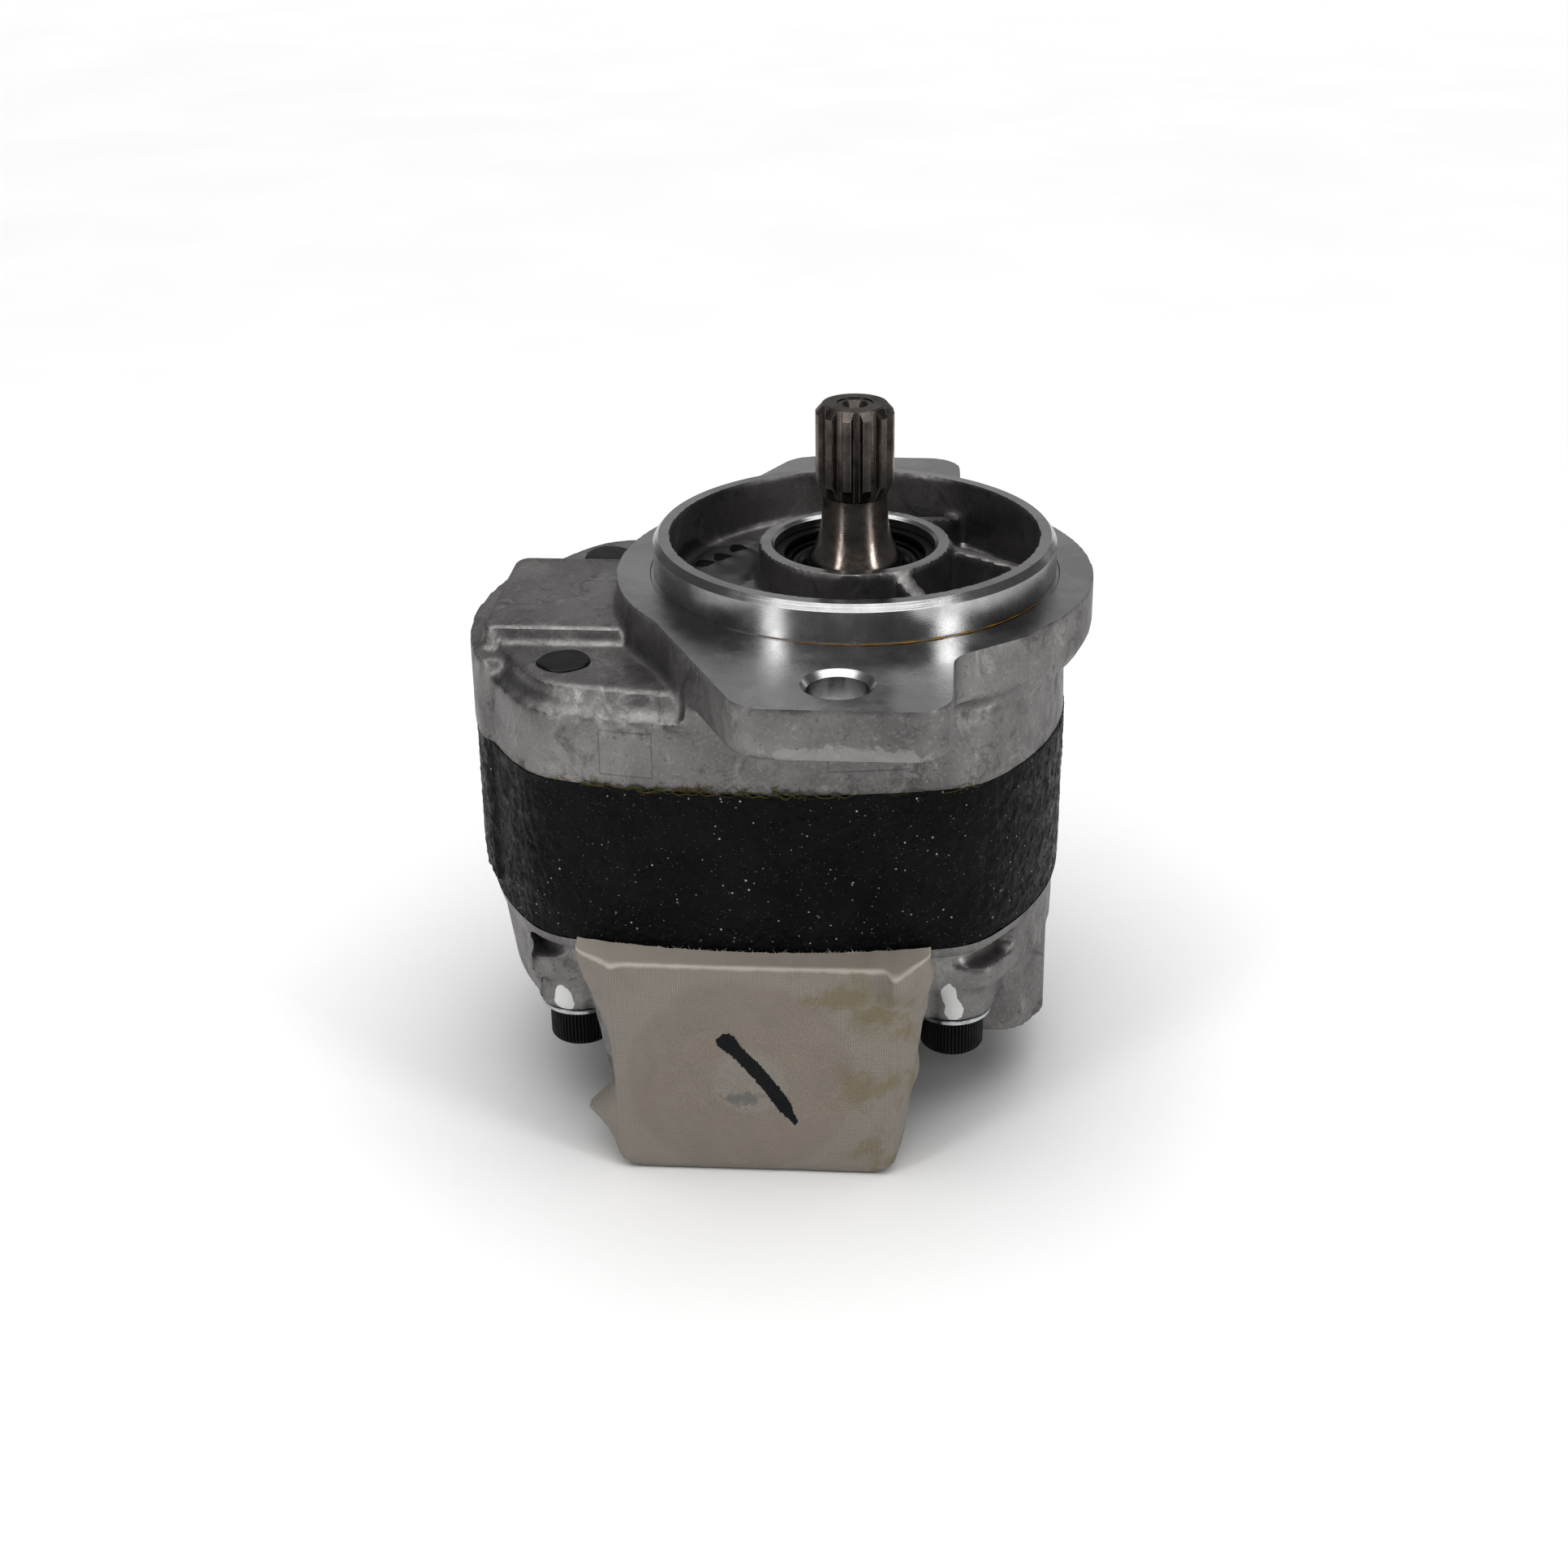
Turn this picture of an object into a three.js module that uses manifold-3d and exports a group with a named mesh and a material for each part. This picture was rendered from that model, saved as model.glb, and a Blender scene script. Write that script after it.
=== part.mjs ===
// External gear pump with an SAE B two-bolt mounting flange and a splined drive shaft.
// Millimetres. +Z is the shaft's outward direction, z = 0 is the pilot rim, x = y = 0 the
// drive shaft's axis, -X the side of the driven gear. The whole group is then moved so that
// its origin is at the middle of the base.
import * as THREE from "three";
import { mergeVertices } from "three/addons/utils/BufferGeometryUtils.js";
import Module from "manifold-3d";

const wasm = await Module();
wasm.setup();

// ---- driving dimensions -------------------------------------------------------------
const GAP = 0.1; // clearance between pieces that touch
const PITCH_D = 42; // distance between the gear axes
const MID_X = -PITCH_D / 2; // middle plane between the gears
const DRIVEN_X = -PITCH_D;
// levels along the shaft axis
const Z_FACE = -9.7; // mounting face of the flange
const Z_FLANGE = -22.4; // underside of the flange
const Z_PLATFORM = -22; // cast platforms beside the flange
const Z_RAISED = -18; // raised platform over the driven gear
const Z_SHOULDER = -26;
const Z_LEDGE = -27.7;
const Z_FRONT = -45; // front cover to gear body
const Z_REAR = -88.3; // gear body to rear cover
const Z_LIP = -92;
const Z_BLOCK = -98;
const Z_TAPER = -104.5;
const Z_BOLT = -114.1; // seat of the bolt washers
const Z_END_BOSS = -128.3;
const Z_BASE = -145.8; // underside of the port housing
const Z_PORT = -119; // port centres
// oblong outline: half length, half width, and its three radii
const OUT = { a: 74.9, b: 59.6, front: 198, end: 73, corner: 21 };
const PILOT_R = 50.8, RIM_R = 49.4, PILOT_IN = 46.4, RIM_CHAMFER = 1.7;
const FLANGE_R = 60.2, LUG_Y = 73, LUG_EDGE = 87.5, LUG_HOLE_R = 7.15, LUG_CHAMFER_R = 8.6;
const BOSS_R = 24.3, BOSS_Z = -2.8, SEAL_R = 20.3, SEAL_FLOOR = -15.5;
const POCKET_LEFT_Z = -13.6, POCKET_RIGHT_Z = -18;
const BUSH_R = 14, JOURNAL_R = 12, BUSH_LEN = 15;
const GEAR_TEETH = 12, GEAR_TIP_R = 24.3, GEAR_ROOT_R = 17.3, PRESSURE = 25, BACKLASH = 0.2;
const CHAMBER_R = 24.5, PLATE_T = 4;
const SPLINE_TEETH = 12, SPLINE_R = 9.85, SPLINE_ROOT = 8.15, SHAFT_TOP = 33.4;
const BOLT_X = 47.7, BOLT_Y = 36, BOLT_R = 5, HEAD_R = 8, HEAD_H = 10, BOLT_TIP = -24;
const PAD_W = 68.8, PAD_Y = 65.5, PORT_R = 16.5, SPOT_R = 25;

// ---- materials ----------------------------------------------------------------------
const paint = (color, roughness, metalness) =>
  new THREE.MeshStandardMaterial({ color, roughness, metalness });
const MAT = {
  castAlu: paint(0x8f8d8a, 0.5, 0.9),
  iron: paint(0x191a1b, 0.75, 0.2),
  steel: paint(0x4a4440, 0.35, 0.95),
  gearSteel: paint(0x8a8c90, 0.3, 1),
  blackSteel: paint(0x1b1b1c, 0.45, 0.7),
  bronze: paint(0xa9793d, 0.4, 0.9),
  rubber: paint(0x141414, 0.7, 0),
  backup: paint(0xd9d4c4, 0.6, 0),
  zinc: paint(0xb9bcbd, 0.35, 0.9),
  sealant: paint(0x161616, 0.4, 0),
  tape: paint(0x8c8378, 0.85, 0),
};

// ---- solids -------------------------------------------------------------------------
// A closed three.js geometry as a solid, turned face out when its profile ran the other way.
function solid(geometry) {
  const flat = geometry.index ? geometry.toNonIndexed() : geometry.clone();
  flat.deleteAttribute("normal");
  flat.deleteAttribute("uv");
  const g = mergeVertices(flat, 1e-4);
  const tri = [];
  const idx = g.index.array;
  for (let i = 0; i < idx.length; i += 3) {
    const [a, b, c] = [idx[i], idx[i + 1], idx[i + 2]];
    if (a !== b && b !== c && a !== c) tri.push(a, b, c);
  }
  const make = (t) =>
    new wasm.Manifold(
      new wasm.Mesh({
        numProp: 3,
        vertProperties: new Float32Array(g.attributes.position.array),
        triVerts: new Uint32Array(t),
      }),
    );
  const made = make(tri);
  return made.volume() < 0 ? make(tri.reverse()) : made;
}

function join(first, ...rest) {
  return rest.reduce((a, b) => a.add(b), first);
}

function cut(first, ...rest) {
  return rest.reduce((a, b) => a.subtract(b), first);
}

const vec = (x, y) => new THREE.Vector2(x, y);

// Straight prism of a 2D outline between two levels, with an optional edge bevel.
function prism(points, z0, z1, bevel = 0) {
  const shape = new THREE.Shape(points);
  const opt = { depth: z1 - z0 - 2 * bevel, steps: 1, bevelEnabled: bevel > 0 };
  Object.assign(opt, {
    bevelThickness: bevel, bevelSize: bevel, bevelOffset: -bevel, bevelSegments: 1,
  });
  const g = new THREE.ExtrudeGeometry(shape, opt);
  return solid(g.translate(0, 0, z0 + bevel));
}

// Prism whose lower end (z0) keeps its outline and whose upper end is scaled about (cx, cy).
function drafted(points, z0, z1, sx, sy, cx = MID_X, cy = 0) {
  const shape = new THREE.Shape(points);
  const g = new THREE.ExtrudeGeometry(shape, { depth: z1 - z0, bevelEnabled: false });
  const p = g.attributes.position;
  for (let i = 0; i < p.count; i++)
    if (p.getZ(i) > (z1 - z0) / 2)
      p.setXY(i, cx + (p.getX(i) - cx) * sx, cy + (p.getY(i) - cy) * sy);
  return solid(g.translate(0, 0, z0));
}

// Solid of revolution about Z from [radius, z] pairs that start and end on the axis or close.
function lathe(profile, segments = 40) {
  const g = new THREE.LatheGeometry(profile.map(([r, z]) => vec(r, z)), segments);
  return solid(g.rotateX(Math.PI / 2));
}

function rod(r, z0, z1, x = 0, y = 0, segments = 24) {
  return lathe([[0, z0], [r, z0], [r, z1], [0, z1]], segments).translate([x, y, 0]);
}

function ring(rIn, rOut, z0, z1, segments = 32) {
  return lathe([[rIn, z0], [rOut, z0], [rOut, z1], [rIn, z1], [rIn, z0]], segments);
}

function block(x0, x1, y0, y1, z0, z1) {
  const g = new THREE.BoxGeometry(x1 - x0, y1 - y0, z1 - z0);
  return solid(g.translate((x0 + x1) / 2, (y0 + y1) / 2, (z0 + z1) / 2));
}

// Cylinder along Y between two values of y.
function rodY(r, y0, y1, x, z, segments = 28) {
  return rod(r, -y1, -y0, 0, 0, segments).rotate([90, 0, 0]).translate([x, 0, z]);
}

// ---- outlines -----------------------------------------------------------------------
function arc(cx, cy, r, from, to, n) {
  const out = [];
  for (let i = 0; i <= n; i++) {
    const t = from + ((to - from) * i) / n;
    out.push([cx + r * Math.cos(t), cy + r * Math.sin(t)]);
  }
  return out;
}

// Oblong of tangent arcs: flat sides, fuller ends and round corners, mirrored both ways.
function oblong(grow = 0, n = 4) {
  const a = OUT.a + grow, b = OUT.b + grow, rf = OUT.front + grow, re = OUT.end + grow;
  const rc = OUT.corner + grow;
  const F = [0, b - rf], E = [a - re, 0];
  const d = Math.hypot(E[0] - F[0], E[1] - F[1]), p = rf - rc, q = re - rc;
  const along = (p * p - q * q + d * d) / (2 * d), off = Math.sqrt(p * p - along * along);
  const u = [(E[0] - F[0]) / d, (E[1] - F[1]) / d];
  const C = [F[0] + along * u[0] + off * u[1], F[1] + along * u[1] - off * u[0]];
  const tF = Math.atan2(C[1] - F[1], C[0] - F[0]), tE = Math.atan2(C[1] - E[1], C[0] - E[0]);
  const quarter = [
    ...arc(E[0], E[1], re, 0, tE, n),
    ...arc(C[0], C[1], rc, tE, tF, n).slice(1),
    ...arc(F[0], F[1], rf, tF, Math.PI / 2, n).slice(1),
  ];
  const half = [...quarter, ...quarter.slice(0, -1).reverse().map(([x, y]) => [-x, y])];
  const full = [...half, ...half.slice(1, -1).reverse().map(([x, y]) => [x, -y])];
  return full.map(([x, y]) => vec(MID_X + x, y));
}

// Polygon with each corner rounded by its own radius: [x, y, radius].
function rounded(corners, n = 4) {
  const out = [];
  corners.forEach(([x, y, r], i) => {
    if (!r) return out.push(vec(x, y));
    const [px, py] = corners[(i + corners.length - 1) % corners.length];
    const [qx, qy] = corners[(i + 1) % corners.length];
    const a = vec(px - x, py - y).normalize(), b = vec(qx - x, qy - y).normalize();
    const half = Math.acos(a.dot(b)) / 2, t = r / Math.tan(half);
    const c = a.clone().add(b).normalize().multiplyScalar(r / Math.sin(half)).add(vec(x, y));
    const s = vec(x, y).addScaledVector(a, t).sub(c), e = vec(x, y).addScaledVector(b, t).sub(c);
    const t0 = Math.atan2(s.y, s.x);
    let turn = Math.atan2(e.y, e.x) - t0;
    if (turn > Math.PI) turn -= 2 * Math.PI;
    if (turn < -Math.PI) turn += 2 * Math.PI;
    for (let k = 0; k <= n; k++) {
      const w = t0 + (turn * k) / n;
      out.push(vec(c.x + r * Math.cos(w), c.y + r * Math.sin(w)));
    }
  });
  return out;
}

// One flange lug, on the side given by the sign s of y.
function lugOutline(s) {
  const c = [
    [-49, -33, 0], [-21.3, -LUG_EDGE, 10], [26, -LUG_EDGE, 9], [26, -57, 3],
    [36, -47.5, 0], [36, -20, 0], [-49, -20, 0],
  ];
  const p = rounded(c.map(([x, y, r]) => [x, s * -y, r]));
  return s > 0 ? p.reverse() : p;
}

// ---- front cover --------------------------------------------------------------------
const boltPlaces = [
  [MID_X - BOLT_X, -BOLT_Y], [MID_X + BOLT_X, -BOLT_Y],
  [MID_X - BOLT_X, BOLT_Y], [MID_X + BOLT_X, BOLT_Y],
];

function pilotRing() {
  return lathe([
    [PILOT_IN, Z_FACE - 6], [PILOT_R, Z_FACE - 6], [PILOT_R, -RIM_CHAMFER], [RIM_R, 0],
    [PILOT_IN, 0], [PILOT_IN, Z_FACE - 6],
  ], 56);
}

function flangePlate() {
  const disc = lathe([
    [0, Z_FLANGE - 4], [FLANGE_R - 2.5, Z_FLANGE - 4], [FLANGE_R, Z_FLANGE],
    [FLANGE_R, Z_FACE - 0.6], [FLANGE_R - 0.6, Z_FACE], [0, Z_FACE],
  ], 56);
  const lugs = [-1, 1].map((s) => prism(lugOutline(s), Z_FLANGE, Z_FACE, 0.6));
  return join(disc, ...lugs);
}

// Short web between a lug's underside and the wall below it.
function lugWeb(s) {
  const g = new THREE.ExtrudeGeometry(
    new THREE.Shape([vec(61, Z_FLANGE + 1), vec(40, Z_FLANGE + 1), vec(40, -33), vec(57, -30)]),
    { depth: 40, bevelEnabled: false },
  );
  g.rotateX(Math.PI / 2).rotateZ(Math.PI / 2).translate(-16, 0, 0);
  const web = solid(g);
  return s > 0 ? web : web.mirror([0, 1, 0]);
}

function coverBody() {
  const wall = drafted(oblong(), Z_FRONT, Z_LEDGE, 1 - 0.6 / OUT.a, 1 - 0.6 / OUT.b);
  const shoulder = drafted(oblong(-0.7), Z_LEDGE, Z_SHOULDER, 1 - 3 / OUT.a, 1 - 3 / OUT.b);
  const platform = drafted(oblong(-4), Z_SHOULDER, Z_PLATFORM, 1 - 0.8 / OUT.a, 1 - 0.8 / OUT.b);
  const neck = prism(oblong(-0.9), Z_LEDGE, Z_FLANGE + 1)
    .intersect(block(-37, 27, -70, 70, Z_LEDGE - 1, 0));
  const raised = drafted(
    rounded([[-91.5, -25.4, 3], [-50, -25.4, 0], [-50, 25.4, 0], [-91.5, 25.4, 3]]),
    Z_PLATFORM - 2, Z_RAISED, 0.992, 0.955, -50, 0,
  );
  const pad = prism(oblong(1.8), Z_FRONT, -23.6, 0)
    .intersect(block(-120, -82.5, -32.5, 32.5, Z_FRONT - 1, 0));
  return join(wall, shoulder, platform, neck, raised, pad);
}

function pilotPockets() {
  const left = ring(BOSS_R, PILOT_IN, POCKET_LEFT_Z, 1, 56)
    .intersect(block(-60, 4, -60, 60, POCKET_LEFT_Z - 1, 2));
  const right = ring(BOSS_R, PILOT_IN, POCKET_RIGHT_Z, 1, 56)
    .intersect(block(4, 60, -60, 60, POCKET_RIGHT_Z - 1, 2));
  return join(left, right);
}

// A rib from the seal boss out to the pilot wall, its top falling outwards.
function rib(angle) {
  const g = new THREE.ExtrudeGeometry(
    new THREE.Shape([vec(22, -20), vec(48, -20), vec(48, -10.5), vec(22, -3.4)]),
    { depth: 5, bevelEnabled: false },
  );
  g.rotateX(Math.PI / 2).translate(0, 2.5, 0);
  return solid(g).rotate([0, 0, angle]);
}

// Raised oval casting pad on the floor of the deep side of the pilot.
function castPad() {
  const p = rounded([[-43, 2, 4], [-27, -6, 4], [-26, 17, 6], [-38, 22, 5]]);
  return prism(p, POCKET_LEFT_Z - 1, POCKET_LEFT_Z + 1.6, 0.4);
}

function frontCover() {
  const keep = ring(SEAL_R - 6, BOSS_R, -26, BOSS_Z, 40);
  let s = join(coverBody(), flangePlate(), pilotRing(), lugWeb(1), lugWeb(-1));
  s = cut(s, pilotPockets(), rod(BOSS_R + 0.01, BOSS_Z, 1, 0, 0, 40));
  const ribs = [0, 58, -58].map(rib).map((r) => r.intersect(rod(48, -25, 0, 0, 0, 56)));
  s = join(s, keep, ...ribs, castPad());
  const seal = lathe([
    [0, Z_FRONT - 1], [13, Z_FRONT - 1], [13, SEAL_FLOOR], [SEAL_R, SEAL_FLOOR],
    [SEAL_R, -7.2], [SEAL_R + 1.1, -7.2], [SEAL_R + 1.1, -5.6], [SEAL_R, -5.6],
    [SEAL_R, BOSS_Z - 0.8], [SEAL_R + 0.8, BOSS_Z], [SEAL_R + 0.8, 1], [0, 1],
  ], 40);
  const bushes = [0, DRIVEN_X].map((x) =>
    rod(BUSH_R + GAP, Z_FRONT - 1, Z_FRONT + BUSH_LEN + 0.3, x, 0, 28));
  const blind = rod(9, Z_FRONT, Z_FRONT + BUSH_LEN + 3, DRIVEN_X, 0, 24);
  const holes = boltPlaces.map(([x, y]) =>
    rod(BOLT_R + GAP, Z_FRONT - 1, x < MID_X ? Z_PLATFORM + 1 : BOLT_TIP + 0.5, x, y, 16));
  const caps = boltPlaces.filter(([x]) => x < MID_X).map(([x, y]) =>
    rod(6.3, Z_PLATFORM - 1.6, Z_PLATFORM + 2, x, y, 16));
  const mounting = [-LUG_Y, LUG_Y].map((y) => lathe([
    [0, -40], [LUG_HOLE_R, -40], [LUG_HOLE_R, Z_FACE - (LUG_CHAMFER_R - LUG_HOLE_R)],
    [LUG_CHAMFER_R + 1, Z_FACE + 1], [0, Z_FACE + 1],
  ], 24).translate([0, y, 0]));
  const dowels = dowelPlaces.map(([x, y]) => rod(3 + GAP, Z_FRONT - 1, Z_FRONT + 8.3, x, y, 16));
  return cut(s, seal, ...bushes, blind, ...holes, ...caps, ...mounting, ...dowels,
    plateGroove(Z_FRONT, 1));
}

// ---- gear body ----------------------------------------------------------------------
const dowelPlaces = [[MID_X - 57, 0], [MID_X + 57, 0]];

function twoBores(r, z0, z1, segments = 48) {
  return join(rod(r, z0, z1, 0, 0, segments), rod(r, z0, z1, DRIVEN_X, 0, segments));
}

// Ring groove or ring seal of figure-eight shape around both bores.
function eightRing(r, w, z0, z1, segments = 28) {
  const outer = join(rod(r + w, z0, z1, 0, 0, segments), rod(r + w, z0, z1, DRIVEN_X, 0, segments),
    block(DRIVEN_X, 0, -(r + w), r + w, z0, z1));
  const inner = join(rod(r, z0 - 1, z1 + 1, 0, 0, segments),
    rod(r, z0 - 1, z1 + 1, DRIVEN_X, 0, segments), block(DRIVEN_X, 0, -r, r, z0 - 1, z1 + 1));
  return cut(outer, inner);
}

function gearBody() {
  const z0 = Z_REAR + GAP, z1 = Z_FRONT - GAP;
  const shell = drafted(oblong(-0.3), z0, z1, 1 + 0.8 / OUT.a, 1 + 0.8 / OUT.b);
  const pad = prism(oblong(1.6), z0 + 4, z1)
    .intersect(block(-120, -82.5, -32.5, 32.5, z0, z1 + 1));
  const chamber = twoBores(CHAMBER_R, z0 - 1, z1 + 1, 56);
  const ways = [-1, 1].map((s) => block(MID_X - 9, MID_X + 9, s > 0 ? 10 : -27, s > 0 ? 27 : -10,
    z0 - 1, z1 + 1));
  const holes = boltPlaces.map(([x, y]) => rod(BOLT_R + 0.5, z0 - 1, z1 + 1, x, y, 16));
  const dowels = dowelPlaces.flatMap(([x, y]) => [
    rod(3 + GAP, z1 - 8.3, z1 + 1, x, y, 16), rod(3 + GAP, z0 - 1, z0 + 8.3, x, y, 16)]);
  const grooves = [eightRing(28.4, 2.4, z1 - 1.6, z1 + 1), eightRing(28.4, 2.4, z0 - 1, z0 + 1.6)];
  return cut(join(shell, pad), chamber, ...ways, ...holes, ...dowels, ...grooves);
}

function sectionSeal(z0, z1) {
  return eightRing(28.6, 2.0, z0, z1, 28);
}

// ---- rear cover ---------------------------------------------------------------------
// Straight-sided block under the lip, its corner facets parallel to the sides.
function blockOutline(grow) {
  const g = grow;
  const c = [
    [48 + g, -27, 8], [36 + g, -46.8 - g, 5], [-78.4 - g, -46.8 - g, 1], [-80 - g, -40, 1],
    [-80 - g, 40, 1], [-78.4 - g, 46.8 + g, 1], [36 + g, 46.8 + g, 5], [48 + g, 27, 8],
  ];
  return rounded(c, 4);
}

function portHousing() {
  const half = PAD_W / 2;
  const g = new THREE.ExtrudeGeometry(
    new THREE.Shape(rounded([
      [-half - 6.5, Z_LIP + 1, 0], [-half - 6.5, -103, 8], [-half + 1, Z_BASE, 6],
      [half - 1, Z_BASE, 6], [half + 6.5, -103, 8], [half + 6.5, Z_LIP + 1, 0],
    ])),
    { depth: 2 * PAD_Y - 14, bevelEnabled: false },
  );
  g.rotateX(Math.PI / 2).translate(MID_X, PAD_Y - 7, 0);
  return solid(g);
}

function portPad(s) {
  const half = PAD_W / 2, c = 6;
  const g = new THREE.ExtrudeGeometry(
    new THREE.Shape(rounded([
      [-half, Z_REAR - 0.2, 2], [-half, Z_BASE, c], [half, Z_BASE, c], [half, Z_REAR - 0.2, 2],
    ])),
    { depth: 12, bevelEnabled: true, bevelSize: 1, bevelThickness: 1, bevelOffset: -1,
      bevelSegments: 1 },
  );
  g.rotateX(Math.PI / 2).translate(MID_X, -PAD_Y + 13, 0);
  const pad = solid(g);
  return s < 0 ? pad : pad.mirror([0, 1, 0]);
}

function rearCover() {
  const z1 = Z_REAR - GAP;
  const lip = drafted(oblong(-1.2), Z_LIP, z1, 1 + 0.8 / OUT.a, 1 + 0.8 / OUT.b);
  const recess = prism(oblong(-7), Z_BLOCK - 1, Z_LIP + 1);
  const body = prism(blockOutline(0), Z_TAPER, Z_BLOCK);
  const foot = prism(rounded([
    [42, -22, 8], [34, -46, 8], [-66, -46, 8], [-79, -36, 6], [-84, -22, 8],
    [-84, 22, 8], [-79, 36, 6], [-66, 46, 8], [34, 46, 8], [42, 22, 8],
  ], 4), Z_BOLT, Z_TAPER + 2);
  const ends = drafted(oblong(-5), Z_BOLT, Z_LIP + 1, 1 + 3.2 / OUT.a, 1 + 3.2 / OUT.b)
    .intersect(join(
      block(-120, -79.8, -50, 50, Z_BOLT, Z_LIP + 1),
      block(38, 80, -36, 36, -104, Z_LIP + 1)));
  const boss = prism(rounded([
    [48.5, -28, 10], [48.5, 28, 10], [10, 28, 0], [10, -28, 0]]), Z_END_BOSS, Z_LIP + 1, 1.5);
  const endPad = prism(rounded([[50.6, -21, 2], [50.6, 21, 2], [30, 21, 0], [30, -21, 0]]),
    Z_END_BOSS + 1, Z_LIP - 2, 0.6);
  let s = join(lip, recess, body, foot, ends, boss, endPad,
    portHousing(), portPad(-1), portPad(1));
  const ports = [-1, 1].flatMap((k) => [
    rodY(SPOT_R, k < 0 ? -PAD_Y - 1 : PAD_Y - 0.6, k < 0 ? -PAD_Y + 0.6 : PAD_Y + 1, MID_X, Z_PORT),
    rodY(PORT_R, k < 0 ? -PAD_Y - 1 : 40, k < 0 ? -40 : PAD_Y + 1, MID_X, Z_PORT),
    rodY(8, k < 0 ? -41 : 16, k < 0 ? -16 : 41, MID_X, Z_PORT, 20),
    rod(8, Z_PORT, Z_REAR + 1, MID_X, k * 21, 20),
  ]);
  const bushes = [0, DRIVEN_X].map((x) =>
    rod(BUSH_R + GAP, z1 - BUSH_LEN - 0.3, z1 + 1, x, 0, 28));
  const blind = [0, DRIVEN_X].map((x) => rod(9, z1 - BUSH_LEN - 3, z1, x, 0, 24));
  const holes = boltPlaces.flatMap(([x, y]) => [
    rod(BOLT_R + 0.5, Z_BASE - 1, z1 + 1, x, y, 16), rod(11, Z_BASE - 1, Z_BOLT, x, y, 16)]);
  const dowels = dowelPlaces.map(([x, y]) => rod(3 + GAP, z1 - 8.3, z1 + 1, x, y, 16));
  const drain = rod(6 + GAP, 30, 60, 0, 0, 20).rotate([0, 90, 0]).translate([0, 0, -108]);
  const seat = rod(10, 46, 60, 0, 0, 24).rotate([0, 90, 0]).translate([0, 0, -108]);
  return cut(s, ...ports, ...bushes, ...blind, ...holes, ...dowels, drain, seat,
    plateGroove(Z_REAR - GAP, -1));
}

// ---- rotating group -----------------------------------------------------------------
function involuteGear(phase) {
  const rp = PITCH_D / 2, rb = rp * Math.cos((PRESSURE * Math.PI) / 180);
  const inv = (a) => Math.tan(a) - a;
  const halfAtPitch = Math.PI / (2 * GEAR_TEETH) - BACKLASH / (2 * rp);
  const invP = inv((PRESSURE * Math.PI) / 180), pts = [];
  const half = (r) => halfAtPitch + invP - inv(Math.acos(Math.min(1, rb / r)));
  const rs = [rb + 0.05, 20.2, 21.6, 23, GEAR_TIP_R];
  for (let i = 0; i < GEAR_TEETH; i++) {
    const mid = phase + (2 * Math.PI * i) / GEAR_TEETH, gap = Math.PI / GEAR_TEETH;
    const at = (r, a) => pts.push(vec(r * Math.cos(mid + a), r * Math.sin(mid + a)));
    at(GEAR_ROOT_R, -gap);
    at(GEAR_ROOT_R, -half(rs[0]) - 0.035);
    rs.forEach((r) => at(r, -half(r)));
    at(GEAR_TIP_R, 0);
    [...rs].reverse().forEach((r) => at(r, half(r)));
    at(GEAR_ROOT_R, half(rs[0]) + 0.035);
  }
  return pts;
}

const GEAR_TOP = Z_FRONT - GAP - PLATE_T - 0.25, GEAR_END = Z_REAR + GAP + PLATE_T + 0.25;
const JOURNAL_TOP = Z_FRONT + BUSH_LEN - 0.4, JOURNAL_END = Z_REAR - BUSH_LEN + 0.4;

function splineOutline() {
  const out = [], step = (2 * Math.PI) / SPLINE_TEETH, tip = 0.108, root = 0.172;
  const first = (-90 + 21) * (Math.PI / 180);
  for (let i = 0; i < SPLINE_TEETH; i++) {
    const mid = first + i * step;
    for (const [r, a] of [[SPLINE_ROOT, -step / 2], [SPLINE_ROOT, -root], [SPLINE_R, -tip],
      [SPLINE_R, 0], [SPLINE_R, tip], [SPLINE_ROOT, root]])
      out.push(vec(r * Math.cos(mid + a), r * Math.sin(mid + a)));
  }
  return out;
}

function driveShaft() {
  const bar = lathe([
    [0, JOURNAL_END], [JOURNAL_R - 1, JOURNAL_END], [JOURNAL_R, JOURNAL_END + 1],
    [JOURNAL_R, -9.5], [10.9, -6.2], [9.5, -2.2], [8.5, 3.2], [8.05, 9],
    [8.05, SHAFT_TOP - 0.8], [7.5, SHAFT_TOP], [2.6, SHAFT_TOP], [1.4, SHAFT_TOP - 2.2],
    [1.4, SHAFT_TOP - 6], [0, SHAFT_TOP - 6.8],
  ], 40);
  const teeth = prism(splineOutline(), 10, SHAFT_TOP)
    .intersect(lathe([[0, 9.6], [8.06, 9.8], [SPLINE_R + 0.1, 13.6], [SPLINE_R + 0.1, SHAFT_TOP - 2.1],
      [8.08, SHAFT_TOP - 0.1], [0, SHAFT_TOP - 0.1]], 24));
  const bore = rod(2.6, SHAFT_TOP - 0.6, SHAFT_TOP + 1, 0, 0, 16);
  const centre = lathe([[0, SHAFT_TOP + 1], [2.9, SHAFT_TOP + 1], [2.6, SHAFT_TOP],
    [1.4, SHAFT_TOP - 2.2], [1.4, SHAFT_TOP - 6], [0, SHAFT_TOP - 6.8]], 20);
  const gear = prism(involuteGear(0), GEAR_END, GEAR_TOP);
  return cut(join(bar, teeth, gear), bore, centre);
}

function drivenShaft() {
  const top = JOURNAL_TOP, end = JOURNAL_END;
  const bar = lathe([
    [0, end], [JOURNAL_R - 1, end], [JOURNAL_R, end + 1], [JOURNAL_R, top - 1],
    [JOURNAL_R - 1, top], [0, top]], 32);
  return join(bar, prism(involuteGear(Math.PI / GEAR_TEETH), GEAR_END, GEAR_TOP))
    .translate([DRIVEN_X, 0, 0]);
}

function bush(z0, z1) {
  return ring(JOURNAL_R + 0.09, BUSH_R, z0, z1, 28);
}

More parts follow.
